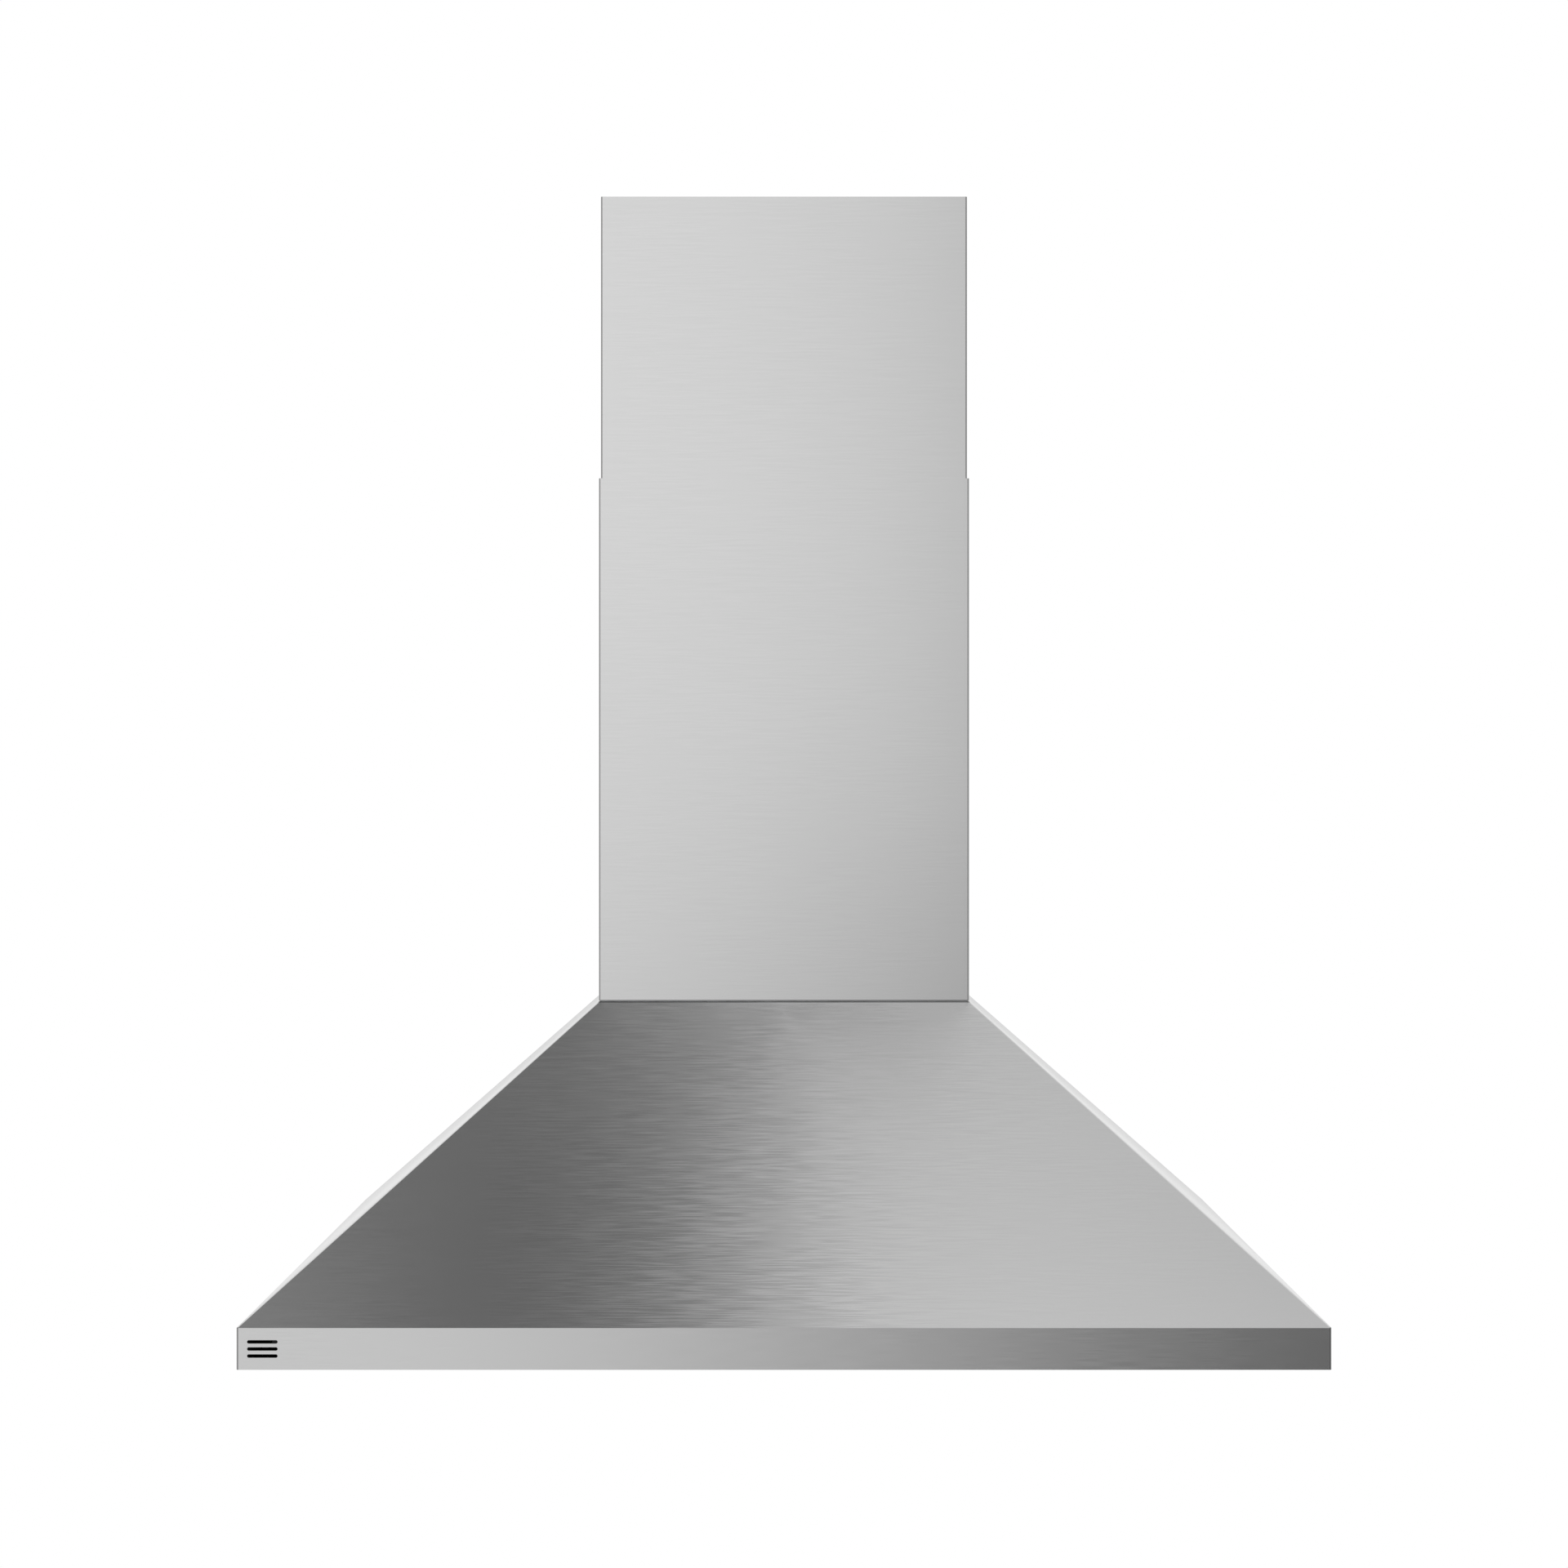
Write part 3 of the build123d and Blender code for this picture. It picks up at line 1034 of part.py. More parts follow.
with BuildPart() as motor_spider:
    with BuildSketch(wheel_plane(PLATE_FACE)):
        Circle(MOTOR_RADIUS - SPIDER_HUB_MARGIN)
        with PolarLocations(SPIDER_REACH / 2, SPIDER_ARMS):
            Rectangle(SPIDER_REACH, SPIDER_ARM)
        Circle(SPIDER_HUB_BORE, mode=Mode.SUBTRACT)
    extrude(amount=SPIDER_SHEET)
motor_spider.part.label = "motor_spider"
export_step(motor_spider.part, "parts/motor_spider.step")


def transition(length, depth, radius):
    """Square-to-round piece: flat triangles from the outlet's sides and creased corners."""
    foot = [
        (sign_x * length / 2, OUTLET_Y + sign_y * depth / 2, TRAY_TOP)
        for sign_x in (-1, 1)
        for sign_y in (-1, 1)
    ]
    head = [
        (radius * cos(radians(turn)), COLLAR_Y + radius * sin(radians(turn)), COLLAR_Z)
        for turn in range(0, 360, CREASE_ANGLE)
    ]
    return ConvexPolyhedron(foot + head, mode=Mode.PRIVATE)


outer_transition = transition(2 * PLATE_FACE, OUTLET_DEPTH, COLLAR_RADIUS)
inner_transition = transition(2 * SCROLL_HALF, OUTLET_DEPTH - 2 * SHEET, COLLAR_BORE)

with BuildPart() as outlet_adapter:
    add(outer_transition)
    with BuildSketch(Plane.XY.offset(TRAY_TOP)):
        with Locations((0, OUTLET_Y)):
            Rectangle(2 * (PLATE_FACE + BLOWER_LIP), OUTLET_DEPTH + 2 * BLOWER_LIP)
    extrude(amount=SHEET)
    with BuildSketch(Plane.XY.offset(COLLAR_Z)):
        with Locations((0, COLLAR_Y)):
            Circle(COLLAR_RADIUS)
    extrude(amount=COLLAR_HEIGHT)
    add(inner_transition, mode=Mode.SUBTRACT)
    with BuildSketch(Plane.XY.offset(COLLAR_Z)):
        with Locations((0, COLLAR_Y)):
            Circle(COLLAR_BORE)
    extrude(amount=COLLAR_HEIGHT, mode=Mode.SUBTRACT)
outlet_adapter.part.label = "outlet_adapter"
export_step(outlet_adapter.part, "parts/outlet_adapter.step")

# ---------------------------------------------------------------- damper

KNUCKLE_RADIUS = DAMPER_ROD_RADIUS + KNUCKLE_GAP + KNUCKLE_WALL

with BuildPart() as damper_rod:
    with BuildSketch(Plane.YZ):
        with Locations((COLLAR_Y, DAMPER_Z)):
            Circle(DAMPER_ROD_RADIUS)
    extrude(amount=COLLAR_BORE - DAMPER_ROD_GAP, both=True)
damper_rod.part.label = "damper_rod"
export_step(damper_rod.part, "parts/damper_rod.step")

for flap, (name, towards) in enumerate([("front", -1), ("rear", 1)]):
    knuckle_places = [
        (count - (KNUCKLE_COUNT - 1) / 2) * KNUCKLE_PITCH
        for count in range(flap, KNUCKLE_COUNT, 2)
    ]
    with BuildPart() as damper_flap:
        # half disc below the rod, clear of the other flap's knuckles
        with BuildSketch(Plane.XY.offset(DAMPER_Z - KNUCKLE_RADIUS)):
            with Locations((0, COLLAR_Y)):
                Circle(COLLAR_BORE - DAMPER_EDGE_GAP)
            with Locations((0, COLLAR_Y + towards * (KNUCKLE_RADIUS + KNUCKLE_SIDE_GAP))):
                Rectangle(
                    2 * COLLAR_RADIUS,
                    2 * COLLAR_RADIUS,
                    align=(Align.CENTER, Align.MAX if towards > 0 else Align.MIN),
                    mode=Mode.SUBTRACT,
                )
            for knuckle_x in knuckle_places:
                with Locations((knuckle_x, COLLAR_Y + towards * KNUCKLE_RADIUS)):
                    Rectangle(KNUCKLE_LENGTH, 2 * KNUCKLE_RADIUS)
        extrude(amount=DAMPER_SHEET)
        for knuckle_x in knuckle_places:
            with BuildSketch(Plane.YZ.offset(knuckle_x)):
                with Locations((COLLAR_Y, DAMPER_Z)):
                    Circle(KNUCKLE_RADIUS)
            extrude(amount=KNUCKLE_LENGTH / 2, both=True)
        with BuildSketch(Plane.YZ):
            with Locations((COLLAR_Y, DAMPER_Z)):
                Circle(DAMPER_ROD_RADIUS + KNUCKLE_GAP)
        extrude(amount=COLLAR_RADIUS, both=True, mode=Mode.SUBTRACT)
    damper_flap.part.label = f"damper_flap_{name}"
    export_step(damper_flap.part, f"parts/damper_flap_{name}.step")

# ---------------------------------------------------------------- wiring in the tray

JUNCTION_LEFT = COLLAR_RADIUS + JUNCTION_GAP
JUNCTION_RIGHT = INNER_WIDTH / 2 - SHEET - JUNCTION_WALL_GAP
JUNCTION_WIDTH = JUNCTION_RIGHT - JUNCTION_LEFT
JUNCTION_MIDDLE = (
    (JUNCTION_LEFT + JUNCTION_RIGHT) / 2,
    -(CHIMNEY_DEPTH - JUNCTION_FRONT_GAP) + JUNCTION_LENGTH / 2,
)
JUNCTION_TOP = TRAY_TOP + JUNCTION_HEIGHT
with BuildPart() as junction_box:
    with BuildSketch(Plane.XY.offset(TRAY_TOP)):
        with Locations(JUNCTION_MIDDLE):
            Rectangle(JUNCTION_WIDTH, JUNCTION_LENGTH)
    extrude(amount=JUNCTION_HEIGHT)
    with BuildSketch(Plane.XY.offset(TRAY_TOP + JUNCTION_SHEET)):
        with Locations(JUNCTION_MIDDLE):
            Rectangle(JUNCTION_WIDTH - 2 * JUNCTION_SHEET, JUNCTION_LENGTH - 2 * JUNCTION_SHEET)
    extrude(amount=JUNCTION_HEIGHT, mode=Mode.SUBTRACT)
    # top edges of the end walls turned in under the lid
    with BuildSketch(Plane.XY.offset(JUNCTION_TOP)):
        with Locations(JUNCTION_MIDDLE):
            Rectangle(JUNCTION_WIDTH, JUNCTION_LENGTH)
            Rectangle(JUNCTION_WIDTH, JUNCTION_LENGTH - 2 * JUNCTION_TAB, mode=Mode.SUBTRACT)
    extrude(amount=-JUNCTION_SHEET)
junction_box.part.label = "junction_box"
export_step(junction_box.part, "parts/junction_box.step")

with BuildPart() as junction_lid:
    with BuildSketch(Plane.XY.offset(JUNCTION_TOP)):
        with Locations(JUNCTION_MIDDLE):
            Rectangle(JUNCTION_WIDTH, JUNCTION_LENGTH)
    extrude(amount=JUNCTION_SHEET)
    # drawn neck that the supply cable's clamp is fastened in
    with BuildSketch(Plane.XY.offset(JUNCTION_TOP)):
        with Locations(JUNCTION_MIDDLE):
            Circle(KNOCKOUT_RADIUS + JUNCTION_SHEET)
    extrude(amount=KNOCKOUT_NECK)
    with BuildSketch(Plane.XY.offset(JUNCTION_TOP)):
        with Locations(JUNCTION_MIDDLE):
            Circle(KNOCKOUT_RADIUS)
    extrude(amount=KNOCKOUT_NECK, mode=Mode.SUBTRACT)
junction_lid.part.label = "junction_lid"
export_step(junction_lid.part, "parts/junction_lid.step")

CAPACITOR_PLACE = (-SERVICE_X, -CAPACITOR_SETBACK)

with BuildPart() as capacitor:
    with BuildSketch(Plane.XY.offset(TRAY_TOP)):
        with Locations(CAPACITOR_PLACE):
            Circle(CAPACITOR_RADIUS)
    extrude(amount=CAPACITOR_HEIGHT)
capacitor.part.label = "capacitor"
export_step(capacitor.part, "parts/capacitor.step")
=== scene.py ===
"""Kitchen range hood for a wall: steel canopy, telescoping chimney, filters, lamps and blower."""

import logging
import math
from collections.abc import Callable, Iterable, Mapping
from dataclasses import dataclass, field
from enum import Enum

import bmesh
import bpy
from bmesh.types import BMEdge, BMesh, BMVert
from bpy.types import ID, Material, Mesh, Node, NodeSocket, NodeTree, Object
from mathutils import Matrix, Vector

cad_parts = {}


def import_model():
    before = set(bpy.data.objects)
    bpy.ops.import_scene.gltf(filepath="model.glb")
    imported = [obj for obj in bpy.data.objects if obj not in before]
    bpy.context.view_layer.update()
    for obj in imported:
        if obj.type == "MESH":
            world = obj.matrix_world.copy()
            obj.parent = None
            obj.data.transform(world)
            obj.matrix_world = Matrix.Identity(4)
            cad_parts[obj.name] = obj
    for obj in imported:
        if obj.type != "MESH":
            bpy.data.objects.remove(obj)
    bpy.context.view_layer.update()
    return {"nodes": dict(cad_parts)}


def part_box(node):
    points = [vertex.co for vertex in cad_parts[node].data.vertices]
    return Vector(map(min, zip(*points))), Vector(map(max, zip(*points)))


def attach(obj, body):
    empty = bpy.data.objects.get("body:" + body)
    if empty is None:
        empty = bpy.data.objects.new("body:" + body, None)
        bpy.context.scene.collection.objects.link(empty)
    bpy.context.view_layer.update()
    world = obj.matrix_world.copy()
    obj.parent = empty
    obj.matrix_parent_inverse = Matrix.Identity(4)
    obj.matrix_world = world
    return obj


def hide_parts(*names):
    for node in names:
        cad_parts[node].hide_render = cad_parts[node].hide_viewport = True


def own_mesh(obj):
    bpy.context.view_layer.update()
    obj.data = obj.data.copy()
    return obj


log = logging.getLogger("range_hood")

Point = tuple[float, float, float]
Pair = tuple[float, float]
Colour = tuple[float, float, float]
Pairs = tuple[Pair, ...]
Value = NodeSocket | float
Inputs = Mapping[str | int, Value | tuple[float, ...]]

MERGE = 1e-7  # metres under which two points are one

WHITE = (1.0, 1.0, 1.0, 1.0)
BLACK = (0.0, 0.0, 0.0, 1.0)


def mm(*sizes: float) -> tuple[float, ...]:
    """Millimetres to metres."""
    return tuple(size / 1000 for size in sizes)


class Slot(Enum):
    """Names of material slots of the record."""

    GALVANISED = "galvanised_steel"
    MOTOR = "motor_steel"
    PLAIN_STEEL = "plain_steel"
    FILTER = "filter_aluminium"
    PLASTIC = "dark_plastic"
    LAMP = "lamp_metal"
    LENS = "lens_glass"
    BOARD = "board"
    CAPACITOR = "capacitor_can"
    BUTTON = "button_plastic"


class Brushing(Enum):
    """Ways that brushed lines run, by the axis across them."""

    ROUND_THE_SHEET = "Z"
    SIDE_TO_SIDE = "Y"


class Facing(Enum):
    """Ways that a screw or a turned form may point, as a turn from +Z."""

    UP = ("X", 0.0)
    DOWN = ("X", 180.0)
    RIGHT = ("Y", 90.0)
    LEFT = ("Y", -90.0)
    REAR = ("X", -90.0)

    def pose(self, spot: Point) -> Matrix:
        """Places a form that was made along +Z.

        Args:
            spot: where its origin goes, in millimetres.

        Returns:
            The matrix that moves it there.
        """
        axis, degrees = self.value
        return Matrix.Translation(mm(*spot)) @ Matrix.Rotation(math.radians(degrees), 4, axis)


# ---------------------------------------------------------------- node building


class NodeSketch:
    """Adds and joins nodes in a material or a world."""

    def __init__(self, tree: NodeTree) -> None:
        """Empties a node tree, to build in it."""
        self.tree = tree
        self.tree.nodes.clear()

    def feed(self, node: Node, inputs: Inputs) -> None:
        """Links a node's inputs, or sets their constants.

        Args:
            node: the node.
            inputs: an output socket or a constant for each input, by its name or number.
        """
        for key, value in inputs.items():
            if isinstance(value, NodeSocket):
                self.tree.links.new(value, node.inputs[key])
            else:
                node.inputs[key].default_value = value

    def add(self, kind: str, inputs: Inputs | None = None, **settings: object) -> Node:
        """Adds a node and feeds it.

        Args:
            kind: type name of the node.
            inputs: what its inputs take.
            **settings: attributes of the node.

        Returns:
            The new node.
        """
        node = self.tree.nodes.new(kind)
        for key, value in settings.items():
            setattr(node, key, value)
        self.feed(node, inputs or {})
        return node

    def calculate(self, what: str, first: Value, second: Value = 0.0) -> NodeSocket:
        """Result of a Math node."""
        return self.add("ShaderNodeMath", {0: first, 1: second}, operation=what).outputs[0]

    def blend(self, factor: Value, low: Value, high: Value) -> NodeSocket:
        """Mix of two numbers, where a factor of 0 gives low and 1 gives high."""
        return self.add("ShaderNodeMix", {0: factor, 2: low, 3: high}, data_type="FLOAT").outputs[0]

    def blend_shaders(self, factor: Value, low: NodeSocket, high: NodeSocket) -> NodeSocket:
        """Mix of two shaders, where a factor of 0 gives low and 1 gives high."""
        return self.add("ShaderNodeMixShader", {0: factor, 1: low, 2: high}).outputs[0]

    def ease(self, value: Value, start: float, end: float) -> NodeSocket:
        """Rises smoothly from 0 to 1.

        Args:
            value: the number that it follows.
            start: where it is 0.
            end: where it is 1.

        Returns:
            The eased number.
        """
        inputs = {"Value": value, "From Min": start, "From Max": end}
        node = self.add("ShaderNodeMapRange", inputs, interpolation_type="SMOOTHSTEP")
        return node.outputs["Result"]

    def spread(self, value: Value, inside: Pair, to: Pair) -> NodeSocket:
        """Maps a range of numbers to another.

        Args:
            value: number to map.
            inside: range that it comes from.
            to: range that it goes to.

        Returns:
            The mapped number.
        """
        names = ("From Min", "From Max", "To Min", "To Max")
        node = self.add("ShaderNodeMapRange", {"Value": value, **dict(zip(names, (*inside, *to)))})
        return node.outputs["Result"]

    def ramp(self, value: NodeSocket, stops: Pairs) -> NodeSocket:
        """Follows a smooth curve through stops.

        Args:
            value: the number that it follows, from -1 to 1.
            stops: pairs of place and height.

        Returns:
            The height at the value.
        """
        peak = max(height for _, height in stops)
        share = self.calculate("MULTIPLY", self.calculate("ADD", value, 1.0), 0.5)
        node = self.add("ShaderNodeValToRGB", {0: share})
        node.color_ramp.interpolation = "CARDINAL"
        marks = node.color_ramp.elements
        while len(marks) < len(stops):
            marks.new(0.5)
        for mark, (place, height) in zip(marks, stops):
            mark.position = (place + 1) / 2
            mark.color = (height / peak, height / peak, height / peak, 1.0)
        return self.calculate("MULTIPLY", node.outputs[0], peak)

    def place(self) -> NodeSocket:
        """Object coordinates of the surface."""
        return self.add("ShaderNodeTexCoord").outputs["Object"]

    def sees_background(self) -> NodeSocket:
        """Tells which rays see the bright background.

        Returns:
            1 for camera, glossy and transmission rays, and 0 for the rest.
        """
        rays = self.add("ShaderNodeLightPath").outputs
        mirrored = self.calculate("MAXIMUM", rays["Is Glossy Ray"], rays["Is Transmission Ray"])
        return self.calculate("MAXIMUM", rays["Is Camera Ray"], mirrored)


class ShaderSketch(NodeSketch):
    """One material with its surface shader."""

    NOISE_SPAN = (0.3, 0.7)  # where most of a noise lies
    # The three shares below shape the painted shade along folds and seams.
    FOLD_CORE = 0.8  # share of a fold's reach that is full
    FOLD_RIM = 1.15  # share of its reach at which it has gone
    SEAM_SET = 0.4  # share of it by which a seam is narrower on either side

    def __init__(self, name: str) -> None:
        """Starts a material.

        Args:
            name: name of the material.
        """
        self.material = bpy.data.materials.new(name)
        self.material.use_nodes = True
        super().__init__(self.material.node_tree)
        self.surface = self.add("ShaderNodeBsdfPrincipled")
        self.output = self.add("ShaderNodeOutputMaterial", {"Surface": self.surface.outputs["BSDF"]})

    def noise(self, vector: NodeSocket, cells: float, detail: float = 2.0) -> NodeSocket:
        """Factor of a noise pattern, with so many cells per unit and so many octaves."""
        inputs = {"Vector": vector, "Scale": cells, "Detail": detail}
        return self.add("ShaderNodeTexNoise", inputs).outputs["Fac"]

    def tint(self, factor: NodeSocket, low: Colour, high: Colour) -> NodeSocket:
        """Mixes two colours and gives them to the surface.

        Args:
            factor: 0 gives low and 1 gives high.
            low: first colour.
            high: second colour.

        Returns:
            The mixed colour.
        """
        inputs = {0: factor, 6: (*low, 1.0), 7: (*high, 1.0)}
        mixed = self.add("ShaderNodeMix", inputs, data_type="RGBA").outputs[2]
        self.feed(self.surface, {"Base Color": mixed})
        return mixed

    def darken(self, colour: NodeSocket, share: NodeSocket) -> None:
        """Gives the surface a colour, less the share of it that is taken away in places."""
        mixed = self.add("ShaderNodeMix", {0: share, 6: colour, 7: BLACK}, data_type="RGBA")
        self.feed(self.surface, {"Base Color": mixed.outputs[2]})

    def polish(self, pattern: NodeSocket, middle: float, swing: float) -> None:
        """Lets the roughness follow a pattern.

        Args:
            pattern: a factor round 0.5.
            middle: roughness at its middle.
            swing: how far the roughness goes from there.
        """
        span = (middle - swing, middle + swing)
        self.feed(self.surface, {"Roughness": self.spread(pattern, self.NOISE_SPAN, span)})

    def relief(
        self, height: NodeSocket, strength: float, distance: float, base: NodeSocket | None = None
    ) -> None:
        """Bumps the surface.

        Args:
            height: pattern of heights.
            strength: share of the bump that shows.
            distance: height of the pattern in metres.
            base: normal that the bump starts from.
        """
        inputs = {"Height": height, "Strength": strength, "Distance": distance}
        if base is not None:
            inputs["Normal"] = base
        node = self.add("ShaderNodeBump", inputs)
        self.feed(self.surface, {"Normal": node.outputs["Normal"]})

    def lean(self, amount: NodeSocket) -> NodeSocket:
        """Turns the normal a little in the direction of the brushed lines.

        Args:
            amount: how far it leans.

        Returns:
            The turned normal.
        """
        normal = self.add("ShaderNodeNewGeometry").outputs["Normal"]
        push = self.add("ShaderNodeCombineXYZ", {0: amount, 1: amount}).outputs[0]
        total = self.add("ShaderNodeVectorMath", {0: normal, 1: push}, operation="ADD")
        return self.add("ShaderNodeVectorMath", {0: total.outputs[0]}, operation="NORMALIZE").outputs[0]

    def lines(self, brushing: Brushing, cells: Pair) -> NodeSocket:
        """Coordinates that draw a pattern out into brushed lines.

        Args:
            brushing: way that the lines run.
            cells: cells per metre along the lines and across them.

        Returns:
            A vector for a pattern.
        """
        along, across = cells
        scale = tuple(across if axis == brushing.value else along for axis in "XYZ")
        return self.add("ShaderNodeMapping", {"Vector": self.place(), "Scale": scale}).outputs[0]

    def painted_fold_shade(self, corners: Pairs, seams: tuple[float, ...], reach: float) -> NodeSocket:
        """Mask of painted shade: is 1 along the sheet's folds and seams and falls to 0 beside them.

        Args:
            corners: pairs of distance from the middle and depth of the upright folds, where the painted
                shade stands for the dark reflection of a bend.
            seams: heights of the level seams, where it stands for the shadow in the joint where a
                cover's foot meets the canopy.
            reach: how far the shade goes from its line.

        Returns:
            The painted shade.
        """
        point = self.add("ShaderNodeSeparateXYZ", {0: self.place()}).outputs
        sideways = self.calculate("ABSOLUTE", point["X"])
        near = []
        for x, y in corners:
            squares = [
                self.calculate("POWER", self.calculate("SUBTRACT", part, middle), 2.0)
                for part, middle in ((sideways, x), (point["Y"], y))
            ]
            near.append(self.calculate("SQRT", self.calculate("ADD", *squares)))
        for height in seams:
            gap = self.calculate("ABSOLUTE", self.calculate("SUBTRACT", point["Z"], height))
            near.append(self.calculate("ADD", gap, self.SEAM_SET * reach))
        closest = near[0]
        for other in near[1:]:
            closest = self.calculate("MINIMUM", closest, other)
        away = self.ease(closest, self.FOLD_CORE * reach, self.FOLD_RIM * reach)
        return self.calculate("SUBTRACT", 1.0, away)


# ---------------------------------------------------------------- finishes
#
# Cells are counted per metre. A groove, a grain, a texture and an etch are heights in metres.
# A swing is how far the roughness goes from its middle.


@dataclass(frozen=True)
class BrushedSteel:
    """Stainless sheet brushed in level lines, with short dashes in patches, and painted shade along any
    folds and seams that are given.
    """

    name: str
    colour: float = 0.66
    streak: float = 0.03
    lean: float = 0.006
    roughness: float = 0.2
    edge_tint: float = 0.8
    bump: float = 0.2
    stretch: float = 0.85
    stretch_turn: float = 0.25
    brushing: Brushing = Brushing.ROUND_THE_SHEET
    # Painted shade: where folds or seams are given, the colour is darkened along them; at a fold it
    # stands for the dark reflection of the bend, at a seam for the shadow in the joint under the
    # cover's foot. The last two fields give its reach and depth.
    corners: Pairs = ()
    seams: tuple[float, ...] = ()
    line_cells: Pair = (30.0, 1500.0)
    dash_cells: Pair = (36.0, 2100.0)
    dash_span: Pair = (0.38, 0.62)
    patch_cells: float = 20.0
    patch_span: Pair = (0.2, 0.5)
    cloud_cells: float = 4.0
    swing: float = 0.012
    groove: float = 0.00002
    painted_shade_reach: float = 0.0013
    painted_shade_depth: float = 0.6

    def make(self) -> Material:
        """Builds the material.

        Returns:
            The material.
        """
        sketch = ShaderSketch(self.name)
        fine = sketch.noise(sketch.lines(self.brushing, self.line_cells), 1.0)
        dashes = sketch.noise(sketch.lines(self.brushing, self.dash_cells), 1.0, 1.0)
        patches = sketch.ease(sketch.noise(sketch.place(), self.patch_cells), *self.patch_span)
        strokes = sketch.spread(dashes, self.dash_span, (-1.0, 1.0))
        marks = sketch.calculate("MULTIPLY", strokes, patches)
        lines = sketch.calculate("ADD", marks, sketch.spread(fine, (0.0, 1.0), (-0.5, 0.5)))
        tone = sketch.spread(lines, (-1.0, 1.0), (0.0, 1.0))
        low, high = self.colour * (1 - self.streak), self.colour * (1 + self.streak)
        grey = sketch.tint(tone, (low, low, low), (high, high, high))
        # Painted shade along the folds and seams, which darkens the colour.
        if self.corners or self.seams:
            shade = sketch.painted_fold_shade(self.corners, self.seams, self.painted_shade_reach)
            sketch.darken(grey, sketch.calculate("MULTIPLY", shade, self.painted_shade_depth))
        cloud = sketch.noise(sketch.place(), self.cloud_cells, 3.0)
        sketch.polish(cloud, self.roughness, self.swing)
        leaning = sketch.lean(sketch.calculate("MULTIPLY", marks, self.lean))
        sketch.relief(fine, self.bump, self.groove, leaning)
        sketch.feed(
            sketch.surface,
            {
                "Metallic": 1.0,
                "Anisotropic": self.stretch,
                "Anisotropic Rotation": self.stretch_turn,
                "Specular Tint": (self.edge_tint, self.edge_tint, self.edge_tint, 1.0),
            },
        )
        return sketch.material


@dataclass(frozen=True)
class GalvanisedSheet:
    """Zinc-coated sheet with its crystal flakes."""

    name: str
    colour: float = 0.45
    contrast: float = 0.12
    blueness: float = 0.01
    roughness: float = 0.4
    swing: float = 0.05
    metallic: float = 0.92
    bump: float = 0.1
    flake_cells: float = 170.0
    unevenness: float = 0.9
    cloud_cells: float = 9.0
    grain_cells: float = 700.0
    grain: float = 0.00003

    def make(self) -> Material:
        """Builds the material.

        Returns:
            The material.
        """
        sketch = ShaderSketch(self.name)
        where = sketch.place()
        pattern = {"Vector": where, "Scale": self.flake_cells, "Randomness": self.unevenness}
        cells = sketch.add("ShaderNodeTexVoronoi", pattern)
        flakes = sketch.add("ShaderNodeSeparateColor", {0: cells.outputs["Color"]}).outputs
        mixed = sketch.blend(sketch.noise(where, self.cloud_cells, 3.0), flakes[0], flakes[1])
        cool = (1 - self.blueness, 1.0, 1 + 2 * self.blueness)
        low, high = (
            tuple(self.colour * (1 + way * self.contrast) * part for part in cool) for way in (-1, 1)
        )
        sketch.tint(mixed, low, high)
        sketch.polish(flakes[1], self.roughness, self.swing)
        sketch.relief(sketch.noise(where, self.grain_cells), self.bump, self.grain)
        sketch.feed(sketch.surface, {"Metallic": self.metallic})
        return sketch.material


@dataclass(frozen=True)
class SatinMetal:
    """Plain metal or enamel with a fine, even grain."""

    name: str
    colour: Colour
    roughness: float = 0.32
    metallic: float = 1.0
    bump: float = 0.12
    swing: float = 0.045
    cloud_cells: float = 30.0
    cloud_dark: float = 0.93
    grain_cells: float = 1500.0
    grain: float = 0.00004

    def make(self) -> Material:
        """Builds the material.

        Returns:
            The material.
        """
        sketch = ShaderSketch(self.name)
        where = sketch.place()
        cloud = sketch.noise(where, self.cloud_cells, 3.0)
        sketch.tint(cloud, tuple(self.cloud_dark * part for part in self.colour), self.colour)
        sketch.polish(cloud, self.roughness, self.swing)
        sketch.relief(sketch.noise(where, self.grain_cells), self.bump, self.grain)
        sketch.feed(sketch.surface, {"Metallic": self.metallic})
        return sketch.material


@dataclass(frozen=True)
class RolledAluminium:
    """Filter sheet with the lines of its rolling along the baffles."""

    name: str
    colour: float = 0.52
    tones: Pair = (0.93, 1.04)
    blueness: float = 0.01
    roughness: float = 0.33
    swing: float = 0.04
    bump: float = 0.2
    line_cells: Point = (900.0, 14.0, 900.0)
    cloud_cells: float = 12.0
    groove: float = 0.00002

    def make(self) -> Material:
        """Builds the material.

        Returns:
            The material.
        """
        sketch = ShaderSketch(self.name)
        drawn = sketch.add("ShaderNodeMapping", {"Vector": sketch.place(), "Scale": self.line_cells})
        lines = sketch.noise(drawn.outputs[0], 1.0)
        low, high = (self.colour * tone for tone in self.tones)
        blue = 1 + self.blueness
        sketch.tint(lines, (low, low, low * blue), (high, high, high * blue))
        cloud = sketch.noise(sketch.place(), self.cloud_cells, 3.0)
        sketch.polish(cloud, self.roughness, self.swing)
        sketch.relief(lines, self.bump, self.groove)
        sketch.feed(sketch.surface, {"Metallic": 1.0})
        return sketch.material


@dataclass(frozen=True)
class MouldedPlastic:
    """Plastic with the fine texture of its mould, a little brighter where it is worn."""

    name: str
    colour: Colour
    roughness: float = 0.42
    bump: float = 0.3
    swing: float = 0.06
    wear_cells: float = 18.0
    wear_share: float = 1.12
    wear_haze: float = 0.004
    texture_cells: float = 900.0
    texture: float = 0.00006

    def make(self) -> Material:
        """Builds the material.

        Returns:
            The material.
        """
        sketch = ShaderSketch(self.name)
        where = sketch.place()
        worn = sketch.noise(where, self.wear_cells, 4.0)
        bright = tuple(min(1.0, part * self.wear_share + self.wear_haze) for part in self.colour)
        sketch.tint(worn, self.colour, bright)
        sketch.polish(worn, self.roughness, self.swing)
        sketch.relief(sketch.noise(where, self.texture_cells, 1.0), self.bump, self.texture)
        return sketch.material


